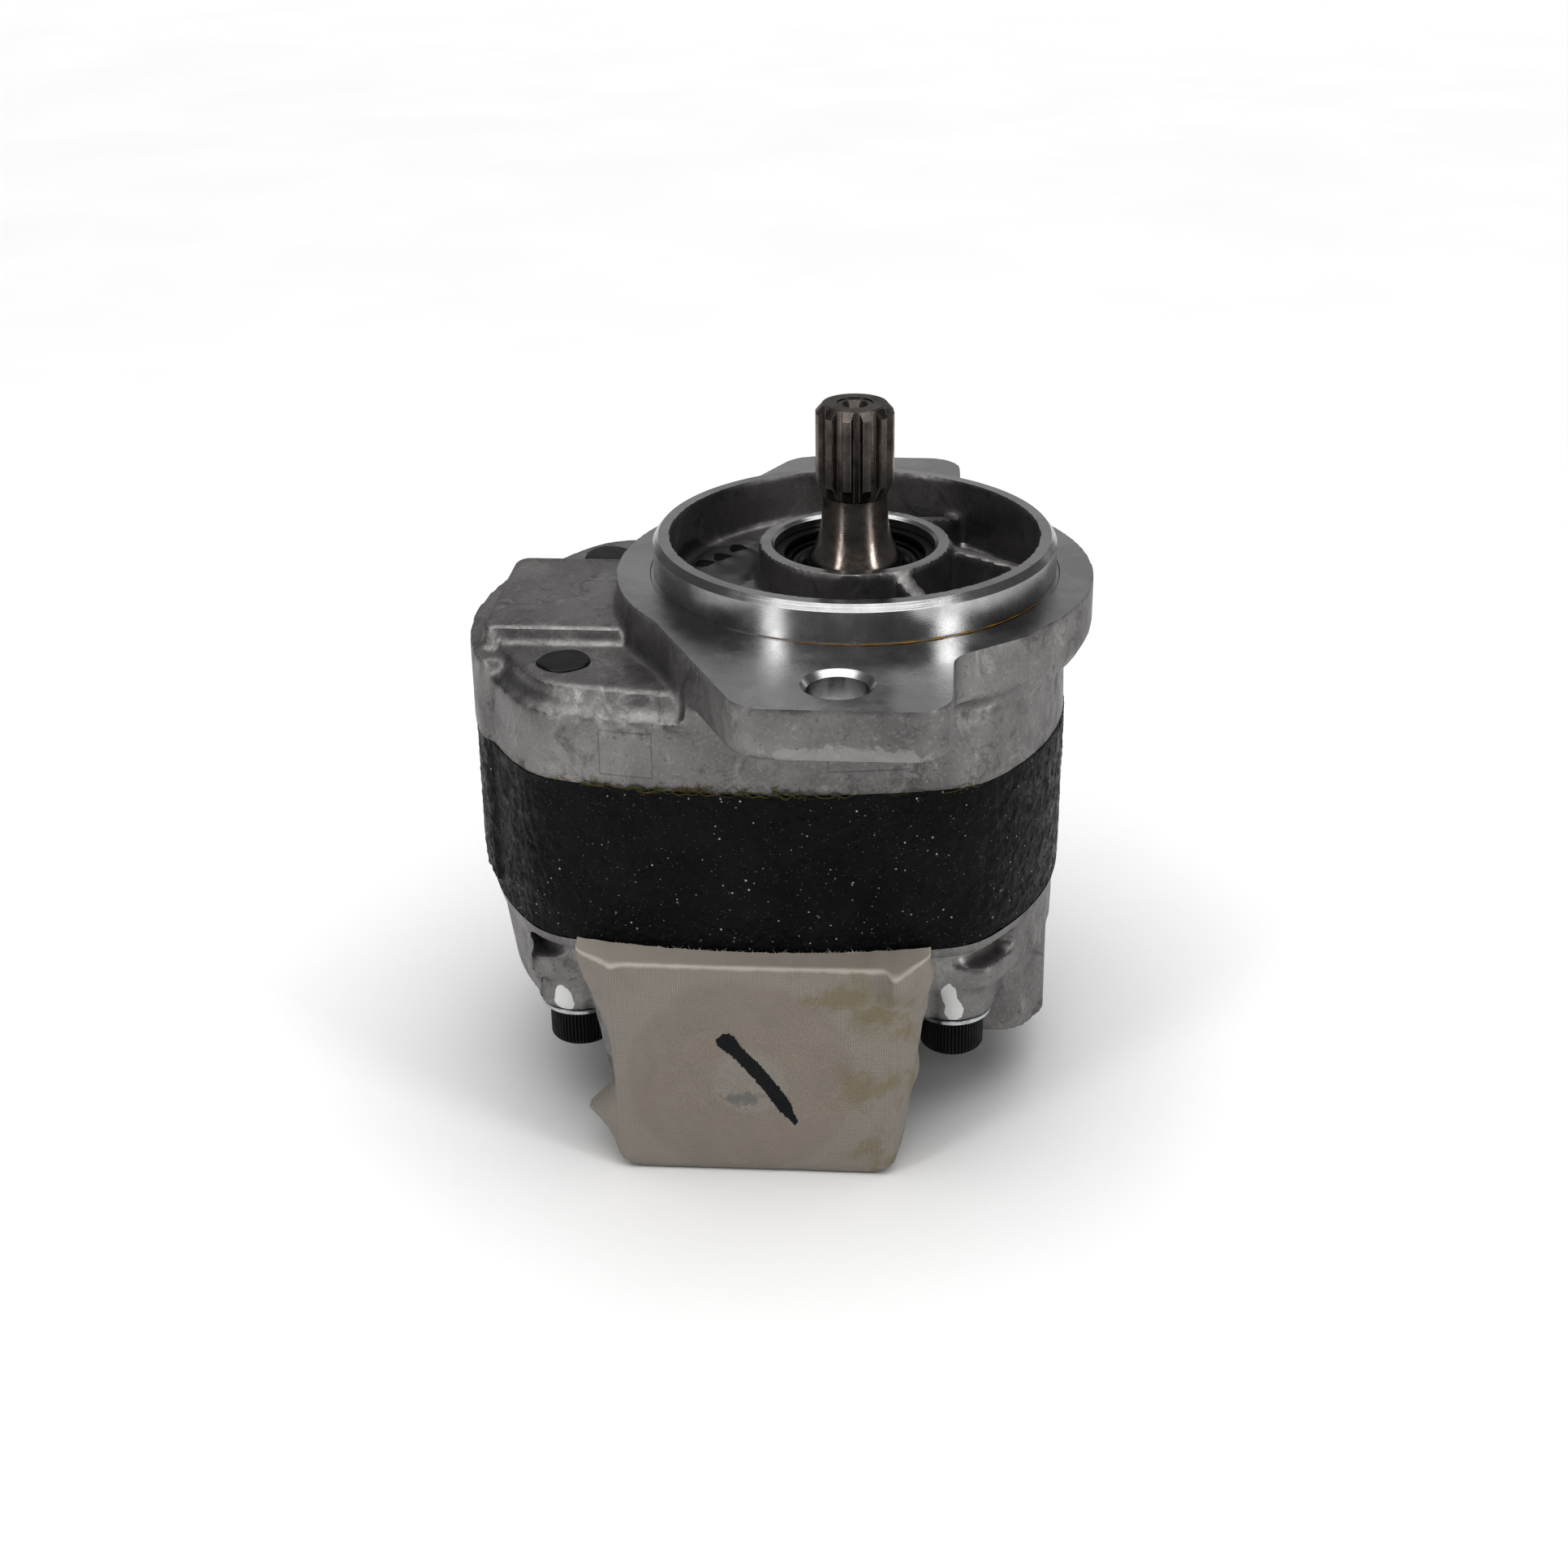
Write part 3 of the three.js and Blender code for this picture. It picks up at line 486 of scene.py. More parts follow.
def cast_skin(name, colours, marks=()):
    """Raw die-cast aluminium: clouded greys, soot in the low spots and a faint orange peel."""
    base = tuple(colours.cast)
    r = Recipe(name, Metallic=0.9)
    cloud = r.noise(34, 6, 0.62, 0.6)
    colour = r.blend(r.band(cloud, 0.3, 0.7), scaled(base, 0.82), scaled(base, 1.12))
    stain = r.noise(95, 7, 0.7, 1.2)
    colour = r.blend(r.band(stain, 0.52, 0.66, 0.0, 0.6), colour, scaled(base, 0.5))
    pale = r.noise(150, 8, 0.75, 0.9, stretch=(1, 1, 0.6))
    colour = r.blend(r.band(pale, 0.52, 0.66, 0.0, 0.6), colour, scaled(base, 1.45))
    grain = r.noise(1100, 3, 0.6)
    colour = r.blend(r.band(grain, 0.5, 0.7, 0.0, 0.3), colour, scaled(base, 1.5))
    soot = r.noise(900, 3, 0.5)
    colour = r.blend(r.band(soot, 0.62, 0.74, 0.0, 0.35), colour, scaled(base, 0.3))
    rough = r.band(r.noise(70, 6, 0.7, 0.8), 0.3, 0.7, 0.36, 0.56)
    for point, squash, reach, tone, strength in marks:
        edge = r.math("ADD", r.far_from(point, squash), r.band(r.noise(330, 2), 0.3, 0.7, -0.0004, 0.0004))
        colour = r.blend(r.band(edge, reach * 0.9, reach, strength, 0.0), colour, tone)
        rough = r.math("MAXIMUM", rough, r.band(edge, reach * 0.9, reach, 0.6, 0.0))
    r.bump(r.noise(190, 3, 0.5), 0.22, 0.5)
    r.bump(r.noise(1500, 3, 0.6), 0.3, 0.12)
    return r.done(colour, rough)


def front_skin(colours):
    low = place(0, 0, Z_JOINT).z
    black = (0.022, 0.022, 0.023)
    soot = [(place(-34.5, 8.5, -12.2), (0.95, 0.8, 2.0), 0.0125, (0.11, 0.11, 0.112), 0.9)]
    soot += [(place(x, y, -9.5), (1, 1, 0.3), 0.0026, black, 1.0) for x, y, _ in BEADS]
    material = cast_skin("die_cast_front", colours, soot)
    r = Recipe.__new__(Recipe)
    r.material, r.tree = material, material.node_tree
    r.surface = r.tree.nodes["Principled BSDF"]
    r.coords = r.tree.nodes["Texture Coordinate"].outputs["Object"]
    r.last_normal = r.surface.inputs["Normal"].links[0].from_socket
    colour = r.surface.inputs["Base Color"].links[0].from_socket
    # dried sealant and oil creep up from the joint, most of all left of the middle
    height = r.math("SUBTRACT", r.split(2), low)
    creep = r.math("ADD", height, r.band(r.noise(260, 5, 0.7, 1.0), 0.3, 0.7, -0.0022, 0.0022))
    sides = r.band(r.split(0), place(-2, 0, 0).x, place(20, 0, 0).x, 1.0, 0.15)
    oil = r.math("MULTIPLY", r.band(creep, -0.0004, 0.0016, 0.8, 0.0), sides)
    oil = r.math("MULTIPLY", oil, r.band(r.noise(60, 3), 0.4, 0.55, 0.25, 1.0))
    colour = r.blend(oil, colour, tuple(colours.sealant))
    # faint seams of the mould's inserts on the front wall
    for x, z, wide, tall in ((-51.2, -36.3, 6.4, 5.6), (6.4, -33.4, 9.6, 5.4)):
        spot = place(x, -58, z)
        right = r.math("ABSOLUTE", r.math("SUBTRACT", r.split(0), spot.x))
        up = r.math("ABSOLUTE", r.math("SUBTRACT", r.split(2), spot.z))
        edge = r.math("MAXIMUM", r.math("SUBTRACT", right, wide * MM), r.math("SUBTRACT", up, tall * MM))
        seam = r.band(r.math("ABSOLUTE", edge), 0.00008, 0.00026, 1.0, 0.0)
        seam = r.math("MULTIPLY", seam, r.band(r.split(1), -0.045, -0.05))
        colour = r.blend(r.math("MULTIPLY", seam, 0.3), colour, scaled(colours.cast, 0.35))
        r.bump(r.math("SUBTRACT", 1.0, seam), 0.35, 0.12)
    # a ragged bright skin where the mould flash broke off under the front lug
    lug = r.far_from(place(5, -LUG_EDGE, Z_FLANGE + 1.6), (0.11, 1, 1.0))
    ragged = r.math("ADD", lug, r.band(r.noise(330, 5, 0.7), 0.3, 0.7, -0.0012, 0.0012))
    colour = r.blend(r.band(ragged, 0.0018, 0.0026, 0.6, 0.0), colour, scaled(colours.cast, 1.5))
    return r.done(colour)


def rear_skin(colours):
    white = (0.75, 0.75, 0.74)
    marks = [(place(*spot), squash, 0.0036, white, 1.0) for spot, squash in PAINT_MARKS]
    return cast_skin("die_cast_rear", colours, marks)


def turned_face(colours, name="turned_aluminium", x=0.0, tone=1.0):
    """Aluminium off the lathe: fine rings, satin shine and faint grey scuffs."""
    base = scaled(colours.machined, tone)
    r = Recipe(name, Metallic=1.0, Anisotropic=0.65)
    centred = r.vector("SUBTRACT", r.coords, tuple(place(x, 0, 0)))
    flat = r.vector("MULTIPLY", centred, (1, 1, 0))
    radius = r.vector("LENGTH", flat, out=1)
    wobble = r.noise(90, 2)
    sweep = r.math("ADD", r.math("MULTIPLY", radius, 9000.0), r.math("MULTIPLY", wobble, 5.0))
    rings = r.math("SINE", sweep)
    up = r.math("SINE", r.math("MULTIPLY", r.split(2), 14000.0))
    colour = r.blend(r.band(r.noise(45, 5, 0.6, 0.5), 0.3, 0.7), scaled(base, 0.86), scaled(base, 1.08))
    scuff = r.noise(300, 6, 0.7, 0.4)
    colour = r.blend(r.band(scuff, 0.58, 0.78, 0.0, 0.4), colour, scaled(base, 0.5))
    rough = r.band(r.noise(60, 5, 0.65), 0.3, 0.7, 0.18, 0.3)
    r.bump(rings, 0.12, 0.02)
    r.bump(up, 0.08, 0.02)
    r.bump(r.noise(900, 4, 0.6), 0.1, 0.03)
    across_cut = r.vector("ADD", r.vector("NORMALIZE", flat), (0, 0, 1))
    r.tree.links.new(across_cut, r.surface.inputs["Tangent"])
    return r.done(colour, rough)


def milled_face(colours):
    """Flat milled aluminium with slight cutter sweeps."""
    base = tuple(colours.machined)
    r = Recipe("milled_aluminium", Metallic=1.0)
    sweep = r.math("SINE", r.math("MULTIPLY", r.far_from(place(MID_X, 0, Z_PORT - 160)), 6000.0))
    colour = r.blend(r.band(r.noise(60, 5), 0.3, 0.7), scaled(base, 0.8), base)
    r.bump(sweep, 0.15, 0.02)
    return r.done(colour, r.band(r.noise(80, 4), 0.3, 0.7, 0.22, 0.36))


def black_paint(colours):
    """Thick black paint over rough cast iron: pits, with glints painted in as white and grey specks."""
    base = tuple(colours.paint)
    r = Recipe("black_painted_iron", Specular_IOR_Level=0.22)
    cloud = r.noise(55, 5, 0.6)
    colour = r.blend(r.band(cloud, 0.35, 0.65), scaled(base, 0.7), scaled(base, 1.35))
    # painted highlights: sparse white specks stand in for glints off the pitted paint
    glint_speck_gap = r.math("ADD", r.cells(540), r.band(r.noise(700, 3), 0.3, 0.7, -0.02, 0.2))
    glint_patch_mask = r.band(r.noise(190, 3), 0.38, 0.52)
    painted_glint_dots = r.math("MULTIPLY", r.band(glint_speck_gap, 0.09, 0.22, 1.0, 0.0), glint_patch_mask)
    colour = r.blend(painted_glint_dots, colour, (0.5, 0.5, 0.48))
    # painted highlights: smaller grey specks, more painted glints
    painted_glint_grit = r.math(
        "MULTIPLY", r.band(r.cells(1000), 0.0, 0.22, 0.7, 0.0), r.band(r.noise(260, 2), 0.4, 0.55)
    )
    colour = r.blend(painted_glint_grit, colour, (0.3, 0.3, 0.29))
    scuff = r.math("MULTIPLY", r.band(r.noise(520, 5, 0.75), 0.6, 0.72), r.band(r.noise(48, 3), 0.5, 0.62))
    colour = r.blend(r.math("MULTIPLY", scuff, 0.5), colour, (0.12, 0.12, 0.12))
    rough = r.band(r.noise(240, 5, 0.7), 0.35, 0.65, 0.22, 0.5)
    r.bump(r.noise(330, 4, 0.6, 0.4), 0.9, 0.8)
    r.bump(r.cells(420, "SMOOTH_F1"), 0.7, 0.6)
    r.bump(r.noise(1100, 3, 0.6), 0.6, 0.2)
    return r.done(colour, rough)


def iron_face(colours):
    """Ground cast iron."""
    r = Recipe("ground_iron", Metallic=1.0)
    colour = r.blend(r.band(r.noise(120, 5), 0.3, 0.7), (0.2, 0.2, 0.2), (0.3, 0.3, 0.3))
    return r.done(colour, r.band(r.noise(200, 4), 0.3, 0.7, 0.25, 0.4))


def shaft_steel(colours):
    """Hardened steel, browned by heat, with fine turning marks and dark oil smears."""
    base = tuple(colours.shaft)
    r = Recipe("browned_shaft_steel", Metallic=1.0, Anisotropic=0.6)
    flat = r.vector("MULTIPLY", r.vector("SUBTRACT", r.coords, tuple(place(0, 0, 0))), (1, 1, 0))
    across_cut = r.vector("ADD", r.vector("NORMALIZE", flat), (0, 0, 1))
    r.tree.links.new(across_cut, r.surface.inputs["Tangent"])
    colour = r.blend(r.band(r.noise(120, 5, 0.6, 0.5), 0.3, 0.7), scaled(base, 0.7), scaled(base, 1.25))
    streak = r.noise(700, 5, 0.7, 0.5, stretch=(1, 1, 0.12))
    colour = r.blend(r.band(streak, 0.58, 0.75, 0.0, 0.6), colour, scaled(base, 0.3))
    bright = place(0, 0, 3).z
    colour = r.blend(r.band(r.split(2), bright, bright + 0.008, 0.75, 0.0), colour, scaled(base, 2.0))
    r.bump(r.math("SINE", r.math("MULTIPLY", r.split(2), 16000.0)), 0.1, 0.02)
    r.bump(r.noise(1600, 3, 0.6), 0.15, 0.03)
    return r.done(colour, r.band(r.noise(260, 5, 0.7), 0.3, 0.7, 0.2, 0.42))


def plain_metal(name, colour, low, high, scale=220.0, metallic=1.0):
    """A metal with slight clouding of colour and shine."""
    r = Recipe(name, Metallic=metallic)
    tint = r.blend(r.band(r.noise(scale, 5, 0.6), 0.3, 0.7), scaled(colour, 0.78), scaled(colour, 1.15))
    r.bump(r.noise(scale * 6, 3, 0.6), 0.2, 0.04)
    return r.done(tint, r.band(r.noise(scale * 1.5, 4), 0.3, 0.7, low, high))


def plain_soft(name, colour, low, high, scale=400.0):
    """Rubber, plastic or sealant with a slightly uneven skin."""
    r = Recipe(name)
    tint = r.blend(r.band(r.noise(scale, 5, 0.6), 0.3, 0.7), scaled(colour, 0.7), scaled(colour, 1.3))
    r.bump(r.noise(scale * 2.5, 4, 0.6), 0.35, 0.1)
    return r.done(tint, r.band(r.noise(scale, 4), 0.3, 0.7, low, high))


def tape_cloth(colours, name, marked):
    """Cloth-backed masking tape: a fine weave, rub marks of the port below, and oil stains."""
    base = tuple(colours.tape)
    r = Recipe(name, Specular_IOR_Level=0.5, Sheen_Weight=0.0)
    cloth = r.tree.nodes.new("ShaderNodeUVMap")
    cloth.uv_map = "cloth"
    u, v = r.split(0, cloth.outputs[0]), r.split(1, cloth.outputs[0])
    threads = math.tau / (0.62 * MM)
    warp = r.math("SINE", r.math("MULTIPLY", u, threads))
    weft = r.math("SINE", r.math("MULTIPLY", v, threads))
    weave = r.math("MULTIPLY", warp, weft)
    ribs = r.math("MAXIMUM", warp, weft)
    side = -1 if marked else 1
    port = place(-24.5, side * PAD_FACE, -119.6)
    ring = r.math("ADD", r.far_from(port, (1, 0, 1)), r.band(r.noise(60, 2), 0.3, 0.7, -0.001, 0.001))
    pressed = r.band(ring, 0.0262, 0.0295, 1.0, 0.0)
    pressed = r.math("MULTIPLY", pressed, r.band(r.noise(38, 3), 0.3, 0.62, 0.75, 1.0))
    colour = r.blend(r.band(ribs, 0.2, 1.0), scaled(base, 0.86), scaled(base, 1.1))
    smooth = r.blend(
        r.band(r.noise(45, 5, 0.6), 0.35, 0.65), scaled(colours.glue, 0.94), tuple(colours.glue)
    )
    colour = r.blend(r.math("MULTIPLY", pressed, 0.85), colour, smooth)
    cloud = r.band(r.noise(70, 6, 0.65, 0.8), 0.48, 0.72, 0.0, 0.3)
    colour = r.blend(cloud, colour, scaled(base, 0.72))
    right = r.split(0)
    near_edge = r.band(right, place(-6, 0, 0).x, place(9, 0, 0).x)
    soak = r.math("MULTIPLY", near_edge, r.band(r.noise(75, 7, 0.7, 0.4), 0.46, 0.62, 0.0, 0.7))
    top_soak = r.far_from(place(2, side * PAD_FACE, -95.5), (0.32, 0, 1.0))
    top_soak = r.math("ADD", top_soak, r.band(r.noise(110, 5, 0.7), 0.3, 0.7, -0.0022, 0.0022))
    soak = r.math("MAXIMUM", soak, r.band(top_soak, 0.001, 0.0042, 0.6, 0.0))
    colour = r.blend(soak, colour, tuple(colours.stain))
    # painted light: the ledge strip at the top is painted lighter against the body's shadow, and a painted
    # highlight runs along the fold over the pad's ledge
    fold_highlight_gap = r.math("ABSOLUTE", r.math("SUBTRACT", v, TAPE_EDGE_V))
    fold_highlight_gap = r.math("ADD", fold_highlight_gap, r.band(r.noise(300, 3), 0.3, 0.7, -0.0002, 0.0002))
    colour = r.blend(r.band(v, 0.0054, 0.0064, 0.7, 0.0), colour, scaled(base, 1.5))
    # painted highlight along the fold
    colour = r.blend(r.band(fold_highlight_gap, 0.0002, 0.0012, 0.6, 0.0), colour, scaled(base, 1.9))
    inner = r.far_from(place(-22.5, side * PAD_FACE, -120.5), (1, 0, 1))
    faint = r.math("MULTIPLY", r.band(inner, 0.0075, 0.0105, 1.0, 0.0), r.band(ribs, -0.2, 0.9, 0.08, 0.28))
    colour = r.blend(faint, colour, (0.4, 0.405, 0.4))
    rough = r.band(r.noise(160, 4), 0.3, 0.7, 0.5, 0.68)
    if marked:
        smudge = r.far_from(place(-24.0, -PAD_FACE, -125.4), (0.42, 0, 1.1))
        smudge = r.math("ADD", smudge, r.band(r.noise(500, 4), 0.3, 0.7, -0.0009, 0.0009))
        smudge = r.math(
            "MULTIPLY", r.band(smudge, 0.0010, 0.0026, 0.62, 0.0), r.band(ribs, -0.4, 1.0, 0.55, 1.0)
        )
        colour = r.blend(smudge, colour, (0.15, 0.16, 0.165))
        reach = stroke(r, (-27.9, -109.2), (-11.6, -131.4), 0.9)
        colour = r.blend(r.band(reach, 0.0017, 0.0020, 1.0, 0.0), colour, (0.006, 0.009, 0.011))
        rough = r.math("MULTIPLY", rough, r.band(reach, 0.0019, 0.0024, 0.75, 1.0))
    r.bump(weave, 0.3, 0.05)
    r.bump(r.noise(60, 4, 0.6), 0.2, 0.5)
    return r.done(colour, rough)


def stroke(r, start, end, bow):
    """Distance from a slightly bowed pen stroke, wider at its head and dry at its tail."""
    a, b = place(start[0], 0, start[1]), place(end[0], 0, end[1])
    along = b - a
    reach = r.vector("MULTIPLY", r.vector("SUBTRACT", r.coords, tuple(a)), (1, 0, 1))
    share = r.math("DIVIDE", r.vector("DOT_PRODUCT", reach, tuple(along), out=1),
                   along.length_squared, clamp=True)
    arch = r.math("MULTIPLY", r.math("SINE", r.math("MULTIPLY", share, math.pi)), bow * MM)
    on_line = r.node("VectorMath", tuple(along), None, None, share, operation="SCALE")
    normal = along.cross(Vector((0, 1, 0))).normalized()
    lift = r.node("VectorMath", tuple(normal), None, None, arch, operation="SCALE")
    off = r.vector("SUBTRACT", r.vector("SUBTRACT", reach, on_line), lift)
    width = r.vector("LENGTH", off, out=1)
    head = r.band(share, 0.0, 0.14, -0.0006, 0.0)
    tail = r.math("ADD", r.band(share, 0.8, 1.0, 0.0, 0.0009), head)
    ragged = r.band(r.noise(900, 4, 0.7), 0.3, 0.7, -0.0003, 0.0003)
    return r.math("ADD", r.math("ADD", width, tail), ragged)


def studio_floor(colours):
    r = Recipe("pale_floor")
    tint = r.blend(r.band(r.noise(6, 3), 0.3, 0.7), (0.86, 0.86, 0.86), (0.88, 0.88, 0.88))
    return r.done(tint, r.band(r.noise(9, 3), 0.3, 0.7, 0.75, 0.8))


MAKERS = {
    "front_skin": front_skin,
    "rear_skin": rear_skin,
    "turned_face": turned_face,
    "milled_face": milled_face,
    "black_paint": black_paint,
    "iron_face": iron_face,
    "shaft_steel": shaft_steel,
    "gear_steel": lambda c: plain_metal("ground_gear_steel", (0.5, 0.5, 0.5), 0.16, 0.3),
    "black_oxide": lambda c: plain_metal("black_oxide_steel", tuple(c.bolt), 0.32, 0.5, 300, 0.5),
    "seal_shell": lambda c: plain_metal("phosphated_seal_shell", (0.03, 0.029, 0.028), 0.3, 0.5, 260),
    "seal_rubber": lambda c: plain_soft("oily_seal_rubber", (0.012, 0.012, 0.012), 0.22, 0.4),
    "ring_rubber": lambda c: plain_soft("moulded_ring_rubber", (0.02, 0.02, 0.02), 0.5, 0.65),
    "backup_plastic": lambda c: plain_soft("pale_backup_plastic", (0.62, 0.58, 0.48), 0.45, 0.6),
    "bronze": lambda c: plain_metal("sintered_bronze", (0.44, 0.26, 0.11), 0.3, 0.45),
    "zinc": lambda c: plain_metal("bright_zinc_plate", (0.56, 0.57, 0.58), 0.22, 0.36),
    "thread_sealant": lambda c: plain_soft("glossy_thread_sealant", (0.01, 0.01, 0.011), 0.16, 0.36, 260),
    "dried_sealant": lambda c: plain_soft("dried_joint_sealant", tuple(c.sealant), 0.25, 0.5, 500),
    "oil_film": lambda c: plain_soft("amber_oil_film", (0.35, 0.2, 0.05), 0.12, 0.22, 300),
    "tape_front": lambda c: tape_cloth(c, "cloth_tape_marked", True),
    "tape_back": lambda c: tape_cloth(c, "cloth_tape_plain", False),
    "frayed_thread": lambda c: plain_soft("white_cotton_thread", (0.62, 0.6, 0.56), 0.7, 0.9, 800),
    "floor": studio_floor,
}

BEADS = ((-38.5, 4.5, 20), (-34.5, 9, 35), (-31, 15.5, 60))
PAINT_MARKS = [
    ((-71.2, -46.0, -110.4), (1.35, 0.3, 0.9)), ((26.0, -46.0, -106.0), (1.75, 0.3, 1.1)),
    ((27.1, -46.0, -110.4), (1.45, 0.3, 1.0)),
]
TAPE_EDGE_V = 6.0 * MM


# ---- what a user may change ---------------------------------------------------------
class PumpSizes(bpy.types.PropertyGroup):
    """Lengths of the pump's visible pieces."""

    skin_grid: FloatProperty(
        name="Casting grid", description="Fineness of the cast skins", default=1.05 * MM,
        unit="LENGTH", min=0.7 * MM, max=3 * MM,
    )
    body_grid: FloatProperty(
        name="Body grid", description="Fineness of the black body's skin", default=0.95 * MM,
        unit="LENGTH", min=0.7 * MM, max=3 * MM,
    )
    cast_passes: IntProperty(
        name="Cast softness", description="Smoothing passes over the cast corners", default=5,
        min=0, max=40,
    )
    pitting: FloatProperty(
        name="Pitting", description="Depth of the body's rough skin", default=0.55 * MM,
        unit="LENGTH", min=0, max=1.5 * MM,
    )
    head_radius: FloatProperty(
        name="Screw head radius", description="Outer radius of the knurled heads",
        default=8 * MM, unit="LENGTH", min=6 * MM, max=10 * MM,
    )
    knurls: IntProperty(
        name="Knurls", description="Ridges round a screw head", default=54, min=12, max=90
    )
    tape_step: FloatProperty(
        name="Tape grid", description="Spacing of the tape's threads in the mesh",
        default=0.8 * MM, unit="LENGTH", min=0.4 * MM, max=3 * MM,
    )
    wrinkle: FloatProperty(
        name="Wrinkle", description="Height of the tape's wrinkles", default=0.3 * MM,
        unit="LENGTH", min=0, max=2 * MM,
    )


def tone(title, text, colour):
    return FloatVectorProperty(
        name=title, description=text, default=colour, subtype="COLOR", min=0, max=1, size=3
    )


class PumpColours(bpy.types.PropertyGroup):
    """Base colours of the pump's finishes, linear."""

    cast: tone("Cast", "Raw die-cast aluminium", (0.294, 0.285, 0.283))
    machined: tone("Machined", "Turned and milled aluminium", (0.5, 0.5, 0.5))
    paint: tone("Paint", "Black paint of the gear body", (0.013, 0.013, 0.014))
    shaft: tone("Shaft", "Browned shaft steel", (0.17, 0.152, 0.14))
    bolt: tone("Screws", "Black oxide of the cap screws", (0.03, 0.03, 0.031))
    tape: tone("Tape", "Woven face of the tape", (0.335, 0.31, 0.28))
    glue: tone("Pressed tape", "Tape pressed on metal", (0.32, 0.284, 0.247))
    stain: tone("Oil stain", "Oil soaked in the tape", (0.25, 0.21, 0.125))
    sealant: tone("Sealant", "Dried sealant at the joints", (0.1, 0.085, 0.02))


# ---- castings -----------------------------------------------------------------------
def sideways(name, outline, near, far):
    """A prism of an outline in y and z, between two values of x."""
    wire([place(near, y, z) for y, z in outline], closed=True)
    run = {"value": ((far - near) * MM, 0, 0)}
    bpy.ops.mesh.extrude_region_move(TRANSFORM_OT_translate=run)
    bpy.ops.mesh.select_all(action="SELECT")
    bpy.ops.mesh.normals_make_consistent(inside=False)
    bpy.ops.object.mode_set(mode="OBJECT")
    return named(name)


def swung(obj, degrees, x=0.0, y=0.0):
    """Turns a piece round an upright axis."""
    only(obj)
    bpy.ops.transform.rotate(
        value=math.radians(degrees), orient_axis="Z", center_override=place(x, y, 0)
    )
    return named(obj.name)


def draft(inset):
    """Scale of the outline's top that draws it in by an inset on every side."""
    return (1 - inset / OBLONG["a"], 1 - inset / OBLONG["b"])


def front_casting():
    """Overlapping solids of the front cover before machining."""
    about = (MID_X, 0)
    under = Z_JOINT - 2
    parts = [
        slab("wall", oblong(), under, Z_LEDGE, draft(0.6), about),
        slab("shoulder", oblong(-0.7), Z_LEDGE - 1, Z_SHOULDER, draft(3), about),
        slab("platform", oblong(-4), Z_SHOULDER - 2, Z_PLATFORM, draft(0.8), about),
        slab("neck", clipped(oblong(-0.9), -37, 27), Z_LEDGE - 1, Z_FLANGE + 1),
        slab("ear", clipped(oblong(1.8), high=-82.5, near=-32.5, far=32.5), under, -23.6),
        slab(
            "raised", rounded([(-91.5, -25.4, 3), (-50, -25.4, 0), (-50, 25.4, 0), (-91.5, 25.4, 3)]),
            Z_PLATFORM - 2, Z_RAISED, (0.992, 0.955), (-50, 0),
        ),
        turned("rim", [
            (PILOT_IN, Z_FLANGE - 4), (FLANGE_R - 2.5, Z_FLANGE - 4), (FLANGE_R, Z_FLANGE + 0.6),
            (FLANGE_R, Z_FACE + 0.8), (PILOT_IN, Z_FACE + 0.8), (PILOT_IN, Z_FLANGE - 4),
        ]),
        turned("pilot", ring_of(PILOT_IN, PILOT_R + 0.6, -16, 0.7)),
        slab("left_floor", arc(0, 0, 48, 1.48, math.tau - 1.48, 40), -26, POCKET_LEFT),
        peg("right_floor", 48, -26, POCKET_RIGHT, sides=80),
        peg("boss", BOSS_R, -26, BOSS_Z + 0.3, sides=80),
        slab(
            "cast_pad", rounded([(-43, 2, 5), (-27, -6, 5), (-26, 17, 6), (-38, 22, 6)]),
            POCKET_LEFT - 1, POCKET_LEFT + 1.7,
        ),
    ]
    for side in (-1, 1):
        lug = slab("lug", lug_outline(side), Z_FLANGE, Z_FACE + 0.8)
        combine(lug, peg("clear", 47.4, -40, 5, sides=80), "DIFFERENCE")
        parts.append(lug)
        web = [(61, Z_FLANGE + 1), (40, Z_FLANGE + 1), (40, -33), (57, -30)]
        parts.append(sideways("web", [(side * y, z) for y, z in web], -16, 24))
    fall = [(22, -20), (47.5, -20), (47.5, -10.5), (22, -3.4)]
    parts += [swung(upright("rib", fall, -2.5, 2.5), turn) for turn in (0, 58, -58)]
    for x, y, turn in BEADS:
        bead = brick("bead", (x - 2.6, y - 1.1, POCKET_LEFT), (x + 2.6, y + 1.1, POCKET_LEFT + 3.0))
        parts.append(swung(bead, turn, x, y))
    return parts


